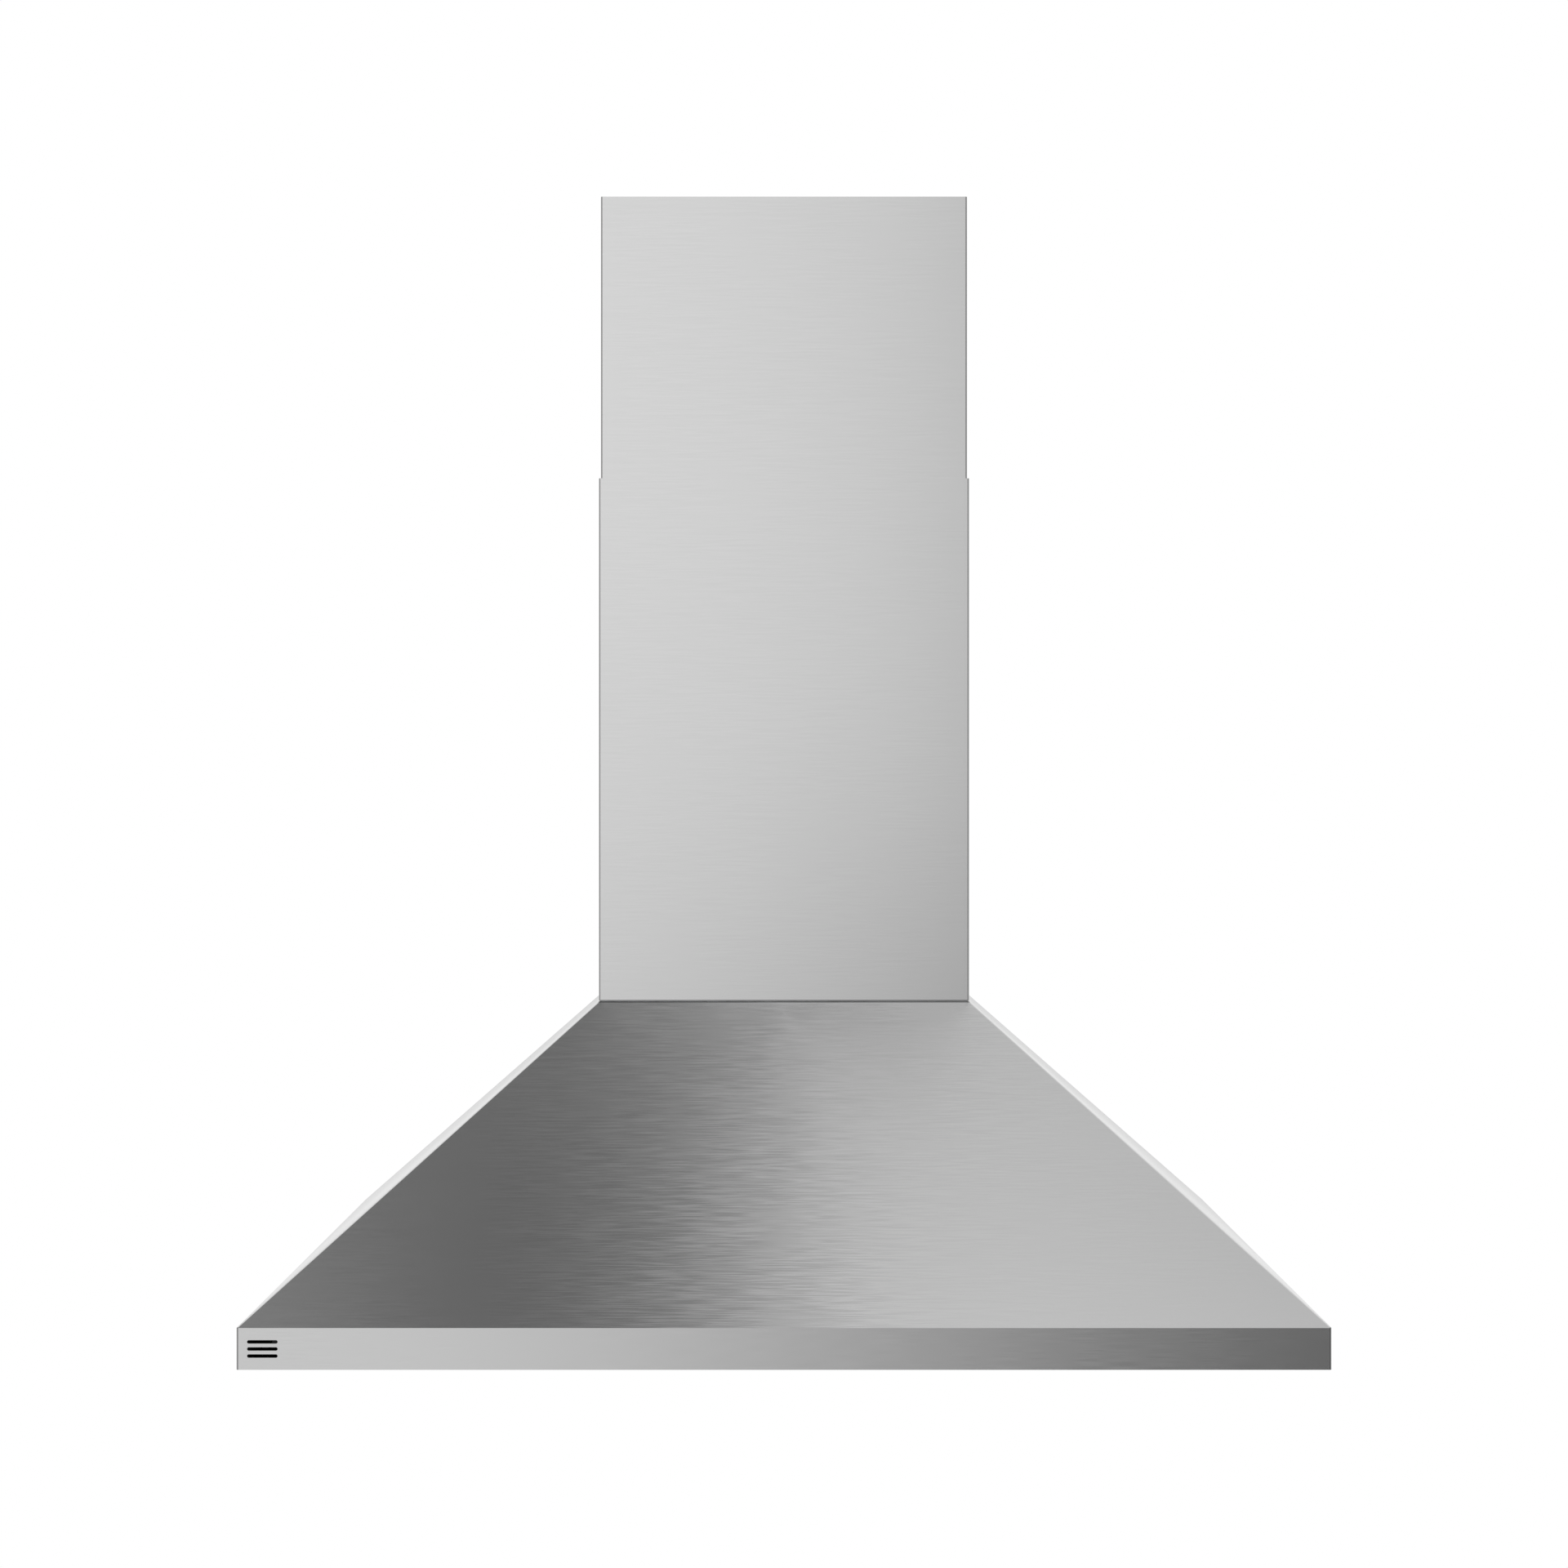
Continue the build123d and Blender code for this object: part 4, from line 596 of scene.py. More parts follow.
@dataclass(frozen=True)
class FrostedGlass:
    """Pressed glass, etched on its inside."""

    name: str
    colours: tuple[Colour, Colour] = ((0.9, 0.92, 0.92), (0.97, 0.98, 0.98))
    roughness: float = 0.35
    swing: float = 0.05
    clearness: float = 0.7
    refraction: float = 1.5
    bump: float = 0.2
    etch_cells: float = 1200.0
    etch: float = 0.00005

    def make(self) -> Material:
        """Builds the material.

        Returns:
            The material.
        """
        sketch = ShaderSketch(self.name)
        etched = sketch.noise(sketch.place(), self.etch_cells)
        sketch.tint(etched, *self.colours)
        sketch.polish(etched, self.roughness, self.swing)
        sketch.relief(etched, self.bump, self.etch)
        sketch.feed(
            sketch.surface, {"Transmission Weight": self.clearness, "IOR": self.refraction}
        )
        return sketch.material


# what both chimney covers share
COVER_LOOK = {
    "colour": 0.68,
    "streak": 0.014,
    "lean": 0.0015,
    "roughness": 0.19,
    "edge_tint": 1.0,
}


def front_folds(node: str) -> Pairs:
    """Upright folds at a node's front, as distance from the middle and depth, for the painted shade
    along them.
    """
    low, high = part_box(node)
    return ((high[0], low[1]),)


@dataclass
class Finishes:
    """Every finish of the hood, made once."""

    materials: dict[str, Material] = field(default_factory=dict)

    def build(self) -> None:
        """Makes the materials."""
        # Heights of the painted shadow line at the joint where the cover's foot stands on the canopy.
        canopy_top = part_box("canopy_shell")[1][2]
        cover_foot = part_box("lower_cover")[0][2]
        for finish in (
            BrushedSteel(
                "canopy_steel",
                streak=0.02,
                lean=0.0145,
                roughness=0.17,
                corners=front_folds("canopy_shell"),
                seams=(canopy_top,),
            ),
            BrushedSteel(
                "lower_cover_steel",
                **COVER_LOOK,
                corners=front_folds("lower_cover"),
                seams=(cover_foot,),
            ),
            BrushedSteel("upper_cover_steel", **COVER_LOOK, corners=front_folds("upper_cover")),
            BrushedSteel(
                "panel_steel",
                colour=0.6,
                lean=0.0,
                roughness=0.24,
                bump=0.03,
                brushing=Brushing.SIDE_TO_SIDE,
            ),
            GalvanisedSheet("galvanised"),
            SatinMetal("motor_enamel", (0.05, 0.05, 0.055), 0.4, 0.0),
            SatinMetal("bright_steel", (0.6, 0.6, 0.6), 0.25),
            SatinMetal("screw_steel", (0.5, 0.5, 0.51), 0.24),
            SatinMetal("flap_metal", (0.62, 0.63, 0.64), 0.38),
            SatinMetal("lamp_plating", (0.74, 0.74, 0.74), 0.12, bump=0.02),
            SatinMetal("can_metal", (0.66, 0.67, 0.68), 0.3),
            SatinMetal("light_board", (0.75, 0.75, 0.72), 0.5, 0.0),
            RolledAluminium("filter_metal"),
            MouldedPlastic("wheel_plastic", (0.02, 0.02, 0.021), 0.5),
            MouldedPlastic("dark_plastic", (0.016, 0.016, 0.017), 0.42),
            MouldedPlastic("button_cap", (0.11, 0.11, 0.113), 0.32, bump=0.1),
            MouldedPlastic("button_print", (0.62, 0.62, 0.62), 0.45, bump=0.0),
            MouldedPlastic("phosphor", (0.72, 0.55, 0.12), 0.35, bump=0.05),
            MouldedPlastic("circuit_board", (0.01, 0.09, 0.035), 0.35, bump=0.05),
            FrostedGlass("frosted_glass"),
        ):
            self.materials[finish.name] = finish.make()
        log.info("%d finishes made", len(self.materials))

    def __getitem__(self, name: str) -> Material:
        """Material of that name."""
        return self.materials[name]


# ---------------------------------------------------------------- modelling
#
# These functions take millimetres and make forms in metres.


def mesh_from(form: BMesh, name: str) -> Mesh:
    """Writes a form to a new mesh and frees it.

    Args:
        form: the form.
        name: name of the mesh.

    Returns:
        The mesh.
    """
    data = bpy.data.meshes.new(name)
    form.to_mesh(data)
    form.free()
    return data


def add_object(name: str, data: ID) -> Object:
    """Makes an object of its data and puts it in the scene.

    Args:
        name: name of the object.
        data: mesh, camera or light.

    Returns:
        The object.
    """
    item = bpy.data.objects.new(name, data)
    bpy.context.scene.collection.objects.link(item)
    return item


def closed_form(work: BMesh) -> BMesh:
    """Merges a form's doubles and turns its faces outwards.

    Args:
        work: the form.

    Returns:
        The same form.
    """
    bmesh.ops.remove_doubles(work, verts=work.verts[:], dist=MERGE)
    bmesh.ops.recalc_face_normals(work, faces=work.faces[:])
    return work


def moved(form: BMesh, pose: Matrix) -> BMesh:
    """Moves a form by a matrix."""
    bmesh.ops.transform(form, matrix=pose, verts=form.verts[:])
    return form


def at_spots(make: Callable[[], BMesh], facing: Facing, spots: Iterable[Point]) -> list[BMesh]:
    """Makes the same form, along +Z, at several spots that it points from."""
    return [moved(make(), facing.pose(spot)) for spot in spots]


def bevel(work: BMesh, edges: list[BMEdge], offset: float, segments: int) -> None:
    """Rounds some edges of a form."""
    bmesh.ops.bevel(
        work,
        geom=edges,
        offset=offset,
        affect="EDGES",
        segments=segments,
        profile=0.5,
        material=-1,
    )


def turned(profile: Iterable[Pair], steps: int, ring: bool = False) -> BMesh:
    """Makes a turned form about Z.

    Args:
        profile: pairs of radius and height.
        steps: facets round the axis.
        ring: True where the last point joins the first.

    Returns:
        The form.
    """
    work = bmesh.new()
    points = [work.verts.new((x, 0.0, z)) for x, z in (mm(*point) for point in profile)]
    pairs = list(zip(points, points[1:]))
    if ring:
        pairs.append((points[-1], points[0]))
    edges = [work.edges.new(pair) for pair in pairs]
    bmesh.ops.spin(
        work,
        geom=points + edges,
        cent=(0.0, 0.0, 0.0),
        axis=(0.0, 0.0, 1.0),
        angle=math.tau,
        steps=steps,
        use_merge=True,
        use_duplicate=False,
    )
    return closed_form(work)


def rounded_block(low: Point, high: Point, rounding: float, segments: int = 2) -> BMesh:
    """Makes a block with rounded edges.

    Args:
        low: lowest corner.
        high: highest corner.
        rounding: radius of its edges.
        segments: facets of an edge.

    Returns:
        The form.
    """
    work = bmesh.new()
    bmesh.ops.create_cube(work, size=1.0)
    spans = list(zip(mm(*low), mm(*high)))
    middle = [(a + b) / 2 for a, b in spans]
    size = [b - a for a, b in spans]
    moved(work, Matrix.Translation(middle) @ Matrix.Diagonal((*size, 1.0)))
    bevel(work, work.edges[:], *mm(rounding), segments)
    return closed_form(work)


def flat_plate(outline: Iterable[Pair], thickness: float) -> BMesh:
    """Makes a plate from its outline, standing on z = 0.

    Args:
        outline: its corners.
        thickness: height of the plate.

    Returns:
        The form.
    """
    work = bmesh.new()
    face = work.faces.new([work.verts.new((*mm(*corner), 0.0)) for corner in outline])
    raised = bmesh.ops.extrude_face_region(work, geom=[face])["geom"]
    top = [item for item in raised if isinstance(item, BMVert)]
    bmesh.ops.translate(work, vec=(0.0, 0.0, *mm(thickness)), verts=top)
    return closed_form(work)


def arc_plate(radii: Pair, start: float, sweep: float, thickness: float) -> BMesh:
    """Makes a flat arc round the origin, standing on z = 0.

    Args:
        radii: inner and outer radius.
        start: angle of its first end, in degrees.
        sweep: angle that it covers, in degrees.
        thickness: height of the plate.

    Returns:
        The form.
    """
    inner, outer, top = mm(*radii, thickness)
    work = bmesh.new()
    corners = ((inner, 0.0), (outer, 0.0), (outer, top), (inner, top))
    face = work.faces.new([work.verts.new((x, 0.0, z)) for x, z in corners])
    moved(work, Matrix.Rotation(math.radians(start), 4, "Z"))
    whole = sweep >= 360.0
    bmesh.ops.spin(
        work,
        geom=face.edges[:] if whole else [face, *face.edges[:], *face.verts[:]],
        cent=(0.0, 0.0, 0.0),
        axis=(0.0, 0.0, 1.0),
        angle=math.radians(sweep),
        steps=24,
        use_merge=whole,
        use_duplicate=False,
    )
    if whole:
        bmesh.ops.delete(work, geom=[face], context="FACES_ONLY")
    return closed_form(work)


def screw_head(radius: float, height: float) -> BMesh:
    """Makes a pan head with a cross recess, standing on z = 0.

    Args:
        radius: radius of the head.
        height: height of the head.

    Returns:
        The form.
    """
    pan = ((0.0, 0.0), (1.0, 0.0), (1.0, 0.4), (0.93, 0.72), (0.76, 0.93), (0.58, 1.0))
    work = turned([(x * radius, z * height) for x, z in pan], steps=24)
    arm, slot, top, bottom = mm(0.46 * radius, 0.11 * radius, height, 0.3 * height)
    taper = 0.72
    rim = [
        edge
        for edge in work.edges
        if edge.is_boundary and min(end.co.z for end in edge.verts) > 0.99 * top
    ]
    corners = []
    for quarter in range(4):
        turn = Matrix.Rotation(quarter * math.pi / 2, 4, "Z")
        arm_end = ((arm, -slot), (arm, slot), (slot, slot))
        corners += [turn @ Vector((x, y, top)) for x, y in arm_end]
    cross = [work.verts.new(corner) for corner in corners]
    loop = [work.edges.new(pair) for pair in zip(cross, cross[1:] + cross[:1])]
    bmesh.ops.bridge_loops(work, edges=rim + loop)
    sunk = bmesh.ops.extrude_edge_only(work, edges=loop)["geom"]
    for vert in (item for item in sunk if isinstance(item, BMVert)):
        vert.co = Vector((taper * vert.co.x, taper * vert.co.y, bottom))
    foot = [item for item in sunk if isinstance(item, BMEdge) and item.is_boundary]
    bmesh.ops.holes_fill(work, edges=foot)
    return closed_form(work)


def rivet_head(radius: float, height: float) -> BMesh:
    """Makes the domed head of a blind rivet, with the dimple of its stem.

    Args:
        radius: radius of the head.
        height: height of the head.

    Returns:
        The form.
    """
    dome = ((0.0, 0.0), (1.0, 0.0), (0.96, 0.35), (0.78, 0.75), (0.5, 1.0))
    dimple = ((0.3, 0.97), (0.26, 0.55), (0.0, 0.55))
    return turned([(x * radius, z * height) for x, z in dome + dimple], steps=20)


def folded_strip(feet: Iterable[Point], height: float, leaf: float, rounding: float) -> BMesh:
    """Makes an upright strip that is folded to and fro.

    Args:
        feet: lower corners of its ends and folds.
        height: height of the strip.
        leaf: thickness of its metal.
        rounding: how far a fold's rounding reaches along the strip.

    Returns:
        The form.
    """
    rise, metal, reach = mm(height, leaf, rounding)
    work = bmesh.new()
    line = [work.verts.new(mm(*foot)) for foot in feet]
    edges = [work.edges.new(pair) for pair in zip(line, line[1:])]
    raised = bmesh.ops.extrude_edge_only(work, edges=edges)["geom"]
    tops = [item for item in raised if isinstance(item, BMVert)]
    bmesh.ops.translate(work, vec=(0.0, 0.0, rise), verts=tops)
    bevel(work, [edge for edge in work.edges if len(edge.link_faces) == 2], reach, 4)
    bmesh.ops.recalc_face_normals(work, faces=work.faces[:])
    bmesh.ops.solidify(work, geom=work.faces[:], thickness=metal)
    return closed_form(work)


# ---------------------------------------------------------------- studio


@dataclass(frozen=True)
class SoftLamp:
    """One soft lamp: its name, its place and width in metres, and its watts."""

    name: str
    place: Point
    width: float
    power: float


@dataclass
class Studio:
    """Camera, floor, world, cards and lamps, in metres."""

    camera_at: Point = (0.0, -2.114, 0.406)
    lens: float = 53.475
    aim: Point = (0.0, -0.25, 0.3)
    lamps: tuple[SoftLamp, ...] = (
        SoftLamp("key", (-1.8, -2.6, 2.4), 2.2, 38.0),
        SoftLamp("fill", (2.4, -2.2, 1.2), 2.4, 18.0),
        SoftLamp("under", (0.0, -1.0, -1.3), 2.0, 10.0),
        SoftLamp("back", (0.6, 2.4, 1.4), 2.2, 24.0),
    )
    room_light: float = 0.6
    floor_at: Point = (0.0, -0.25, -1.55)
    floor_radius: float = 3.2
    floor_tone: float = 0.86
    floor_glow: float = 0.7
    floor_fade: float = 0.3
    rim: float = 0.7
    overhead_height: float = 3.0
    overhead_middle: float = -0.7
    overhead_reach: Pair = (1.75, 1.6)
    overhead_scale: float = 4.62
    overhead: Pairs = (
        (-0.38, 0.34),
        (-0.2, 0.25),
        (-0.14, 0.158),
        (-0.1, 0.182),
        (-0.05, 0.3),
        (0.0, 0.545),
        (0.05, 0.735),
        (0.11, 0.738),
        (0.38, 0.585),
    )
    forward_span: Pair = (-0.45, -1.3)
    forward_gain: Pair = (1.0, 1.45)
    front_y: float = -3.2
    front_middle: float = 0.4
    front_reach: Pair = (1.7, 1.9)
    front_span: Pair = (-0.66, 0.7)
    level_scale: float = 4.83
    level: Pairs = (
        (-0.36, 0.99),
        (-0.08, 0.985),
        (0.0, 0.925),
        (0.055, 0.84),
        (0.08, 0.755),
        (0.2, 0.57),
        (0.36, 0.5),
    )
    low_scale: float = 4.31
    low: Pairs = (
        (-0.4, 0.86),
        (-0.3, 0.84),
        (-0.15, 0.785),
        (-0.06, 0.665),
        (0.0, 0.545),
        (0.05, 0.445),
        (0.1, 0.355),
        (0.2, 0.17),
        (0.3, 0.13),
        (0.4, 0.13),
    )

    def set_camera(self) -> None:
        """Makes the camera: level, square to the wall and in the hood's middle."""
        data = bpy.data.cameras.new("camera")
        data.sensor_width = 36.0
        data.lens = self.lens
        camera = add_object("camera", data)
        camera.location = self.camera_at
        camera.rotation_euler = (math.pi / 2, 0.0, 0.0)
        bpy.context.scene.camera = camera

    def set_world(self) -> None:
        """Makes a white background, which the steel and the glass show too."""
        world = bpy.data.worlds.new("room")
        bpy.context.scene.world = world
        world.use_nodes = True
        sketch = NodeSketch(world.node_tree)
        soft, white = (
            sketch.add("ShaderNodeBackground", {"Color": WHITE, "Strength": strength}).outputs[0]
            for strength in (self.room_light, 1.0)
        )
        choice = sketch.blend_shaders(sketch.sees_background(), soft, white)
        sketch.add("ShaderNodeOutputWorld", {"Surface": choice})

    def hang_card(
        self,
        name: str,
        pose: Matrix,
        shade: Callable[[NodeSketch, Mapping[str, NodeSocket]], NodeSocket],
    ) -> None:
        """Hangs a graduated card, which shades the steel as a photographer's card does.

        Args:
            name: name of the card.
            pose: places a square of one metre.
            shade: makes the card's brightness from its coordinates.
        """
        work = bmesh.new()
        bmesh.ops.create_grid(work, x_segments=1, y_segments=1, size=0.5, matrix=pose)
        card = add_object(name, mesh_from(work, name))
        card.visible_camera = False
        card.visible_shadow = False
        paint = bpy.data.materials.new(f"{name}_paint")
        paint.use_nodes = True
        sketch = NodeSketch(paint.node_tree)
        point = sketch.add("ShaderNodeSeparateXYZ", {0: sketch.place()}).outputs
        glow = sketch.add("ShaderNodeEmission", {"Strength": shade(sketch, point)})
        sketch.add("ShaderNodeOutputMaterial", {"Surface": glow.outputs[0]})
        card.data.materials.append(paint)

    def fade_out(
        self, sketch: NodeSketch, shade: NodeSocket, *spans: tuple[NodeSocket, float, float]
    ) -> NodeSocket:
        """Lets a card's brightness pass into the background's at its rim.

        Args:
            sketch: the card's paint.
            shade: brightness of the card.
            *spans: a coordinate, its middle and how far from there the card is full.

        Returns:
            The brightness with its rim.
        """
        rim = 0.0
        for place, middle, reach in spans:
            away = sketch.calculate("ABSOLUTE", sketch.calculate("SUBTRACT", place, middle))
            rim = sketch.calculate("MAXIMUM", rim, sketch.ease(away, reach, reach + self.rim))
        return sketch.blend(rim, shade, 1.0)

    def card_size(self, reach: Pair) -> Matrix:
        """Scale of a card with its rim."""
        width, height = (2 * (part + self.rim) for part in reach)
        return Matrix.Diagonal((width, height, 1.0, 1.0))

    def shade_overhead(self, sketch: NodeSketch, point: Mapping[str, NodeSocket]) -> NodeSocket:
        """Shades the card overhead: dark on the left, brighter towards the front.

        Args:
            sketch: the card's paint.
            point: coordinates on the card.

        Returns:
            The card's brightness.
        """
        x, y = point["X"], point["Y"]
        across = sketch.calculate("DIVIDE", x, self.overhead_scale)
        forward = sketch.spread(y, self.forward_span, self.forward_gain)
        shade = sketch.calculate("MULTIPLY", sketch.ramp(across, self.overhead), forward)
        width, depth = self.overhead_reach
        return self.fade_out(sketch, shade, (x, 0.0, width), (y, self.overhead_middle, depth))

    def shade_front(self, sketch: NodeSketch, point: Mapping[str, NodeSocket]) -> NodeSocket:
        """Shades the card in front, which darkens downwards and to the right.

        Args:
            sketch: the card's paint.
            point: coordinates on the card.

        Returns:
            The card's brightness.
        """
        x, z = point["X"], point["Z"]
        high = sketch.ramp(sketch.calculate("DIVIDE", x, self.level_scale), self.level)
        low = sketch.ramp(sketch.calculate("DIVIDE", x, self.low_scale), self.low)
        shade = sketch.blend(sketch.ease(z, *self.front_span), low, high)
        width, height = self.front_reach
        return self.fade_out(sketch, shade, (x, 0.0, width), (z, self.front_middle, height))

    def set_cards(self) -> None:
        """Hangs the cards over the hood and behind the camera."""
        over = Matrix.Translation((0.0, self.overhead_middle, self.overhead_height))
        over @= self.card_size(self.overhead_reach)
        self.hang_card("card_overhead", over, self.shade_overhead)
        front = Matrix.Translation((0.0, self.front_y, self.front_middle))
        front @= Matrix.Rotation(math.pi / 2, 4, "X") @ self.card_size(self.front_reach)
        self.hang_card("card_front", front, self.shade_front)

    def set_floor(self) -> None:
        """Makes the pale floor under the hood, which fades to white at its rim."""
        work = bmesh.new()
        bmesh.ops.create_circle(work, cap_ends=True, radius=self.floor_radius, segments=96)
        moved(work, Matrix.Translation(self.floor_at))
        floor = add_object("floor", mesh_from(work, "floor"))
        sketch = ShaderSketch("floor_paint")
        tone = (self.floor_tone, self.floor_tone, self.floor_tone, 1.0)
        sketch.feed(
            sketch.surface, {"Base Color": tone, "Roughness": 0.9, "Specular IOR Level": 0.1}
        )
        measure = {0: sketch.place(), 1: self.floor_at}
        reach = sketch.add("ShaderNodeVectorMath", measure, operation="DISTANCE").outputs["Value"]
        fade = sketch.ease(reach, self.floor_fade * self.floor_radius, self.floor_radius)
        shown = sketch.spread(fade, (0.0, 1.0), (self.floor_glow, 1.0))
        seen = sketch.calculate("MULTIPLY", sketch.sees_background(), shown)
        glow = sketch.add("ShaderNodeEmission", {"Color": WHITE})
        choice = sketch.blend_shaders(seen, sketch.surface.outputs[0], glow.outputs[0])
        sketch.feed(sketch.output, {"Surface": choice})
        floor.data.materials.append(sketch.material)

    def set_lamps(self) -> None:
        """Hangs the soft lamps, which the steel doesn't mirror."""
        for plan in self.lamps:
            data = bpy.data.lights.new(plan.name, "AREA")
            data.size = plan.width
            data.energy = plan.power
            lamp = add_object(plan.name, data)
            lamp.location = plan.place
            aim = Vector(self.aim) - Vector(plan.place)
            lamp.rotation_euler = aim.to_track_quat("-Z", "Y").to_euler()
            lamp.visible_glossy = False
            lamp.visible_camera = False

    def build(self) -> None:
        """Sets the whole studio."""
        self.set_camera()
        self.set_world()
        self.set_floor()
        self.set_cards()
        self.set_lamps()
        bpy.context.scene.view_settings.view_transform = "Standard"
        log.info("studio set")


# ---------------------------------------------------------------- sub-assemblies
#
# Their sizes and places are in millimetres, in the hood's own frame. The size of a screw, a
# rivet or a weld is its radius and its height.


@dataclass
class SubAssembly:
    """Some nodes of the hood and the pieces that are added to them."""

    nodes: dict[str, Object]
    finishes: Finishes

    def dress(self, finish: str, *names: str) -> None:
        """Gives carried-over nodes a finish.

        Args:
            finish: name of the finish.
            *names: the nodes.
        """
        for name in names:
            node = self.nodes[name]
            if not node.material_slots:
                node.data.materials.append(self.finishes[finish])
            for place in node.material_slots:
                place.material = self.finishes[finish]

    def add_piece(
        self,
        name: str,
        forms: Iterable[BMesh],
        finish: str,
        body: str = "hood",
        slot: Slot = Slot.PLAIN_STEEL,
        smooth: float = 35.0,
    ) -> Object:
        """Makes a new piece from forms and lets it ride on a body.

        Args:
            name: name of the piece.
            forms: what it is put together from, each in its place.
            finish: name of its finish.
            body: body that it rides on.
            slot: slot of the record that its finish belongs to; not used.
            smooth: edges flatter than this many degrees are shaded smooth.

        Returns:
            The piece.
        """
        work = bmesh.new()
        for form in forms:
            spare = mesh_from(form, "spare")
            work.from_mesh(spare)
            bpy.data.meshes.remove(spare)
        for face in work.faces:
            face.smooth = True
        for edge in work.edges:
            edge.smooth = edge.calc_face_angle(math.pi) < math.radians(smooth)
        data = mesh_from(work, name)
        data.materials.append(self.finishes[finish])
        piece = add_object(name, data)
        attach(piece, body)
        log.info("%s: %d faces, rides on %s", name, len(data.polygons), body)
        return piece


@dataclass
class Canopy(SubAssembly):
    """Canopy, rear panel and under panel."""

    front_y: float = -493.5
    front_rivets: tuple[float, ...] = (-235, -80, 80, 235, 366)
    side_x: float = 373.2
    side_rivets: tuple[float, ...] = (-330, -180, -30)
    corner_y: float = -440
    rear_y: float = -6.5
    rear_rivets: tuple[float, ...] = (-300, -100, 100, 300)
    rivet_size: Pair = (3.2, 0.9)
    hanger_x: float = 170
    weld_x: float = 19
    weld_rows: tuple[float, ...] = (105, 126.5, 148)
    weld_size: Pair = (3.0, 0.12)

    def add_rivets(self) -> None:
        """Rivets that hold the under panel's skirt to the lip."""
        spots = [(x, self.front_y, 0) for x in self.front_rivets]
        spots += [(x, y, 0) for x in (-self.side_x, self.side_x) for y in self.side_rivets]
        spots.append((self.side_x, self.corner_y, 0))
        spots += [(x, self.rear_y, 0) for x in self.rear_rivets]
        heads = at_spots(lambda: rivet_head(*self.rivet_size), Facing.DOWN, spots)
        self.add_piece("lip_rivets", heads, "bright_steel")

    def weld(self) -> BMesh:
        """Makes the ring that a spot weld leaves, with its dip, standing on z = 0.

        Returns:
            The form.
        """
        radius, height = self.weld_size
        shares = ((0.0, 0.0), (1.0, 0.0), (0.85, 1.0), (0.65, 1.0), (0.5, 0.25), (0.0, 0.25))
        return turned([(x * radius, z * height) for x, z in shares], steps=24)

    def add_welds(self) -> None:
        """Spot welds that hold the hanger plates to the rear panel."""
        spots = [
            (side * self.hanger_x + x, 0, z)
            for side in (-1, 1)
            for x in (-self.weld_x, self.weld_x)
            for z in self.weld_rows
        ]
        welds = at_spots(self.weld, Facing.REAR, spots)
        self.add_piece("hanger_welds", welds, "bright_steel", slot=Slot.GALVANISED)

    def build(self) -> None:
        """Dresses the sheets and adds their fastenings."""
        self.dress("canopy_steel", "canopy_shell")
        self.dress("panel_steel", "under_panel")
        self.dress("galvanised", "rear_panel", "hanger_plates")
        self.add_rivets()
        self.add_welds()


@dataclass
class Chimney(SubAssembly):
    """Telescoping covers, tray and wall bracket."""

    lower_screw: Point = (149.0, -40, 243)
    upper_screw: Point = (147.5, -19, 856.5)
    screw_size: Pair = (3.4, 2.1)

    def add_screws(self, name: str, spot: Point, body: str) -> None:
        """Adds a screw on each side of a cover.

        Args:
            name: name of the piece.
            spot: where the right one goes.
            body: body that the screws ride on.
        """
        x, y, z = spot
        heads = [
            moved(screw_head(*self.screw_size), facing.pose((side * x, y, z)))
            for side, facing in ((-1, Facing.LEFT), (1, Facing.RIGHT))
        ]
        self.add_piece(name, heads, "screw_steel", body)

    def build(self) -> None:
        """Dresses the covers and adds their screws."""
        self.dress("lower_cover_steel", "lower_cover")
        self.dress("upper_cover_steel", "upper_cover")
        self.dress("galvanised", "top_tray", "chimney_bracket")
        self.add_screws("lower_cover_screws", self.lower_screw, "hood")
        self.add_screws("upper_cover_screws", self.upper_screw, "upper_chimney")


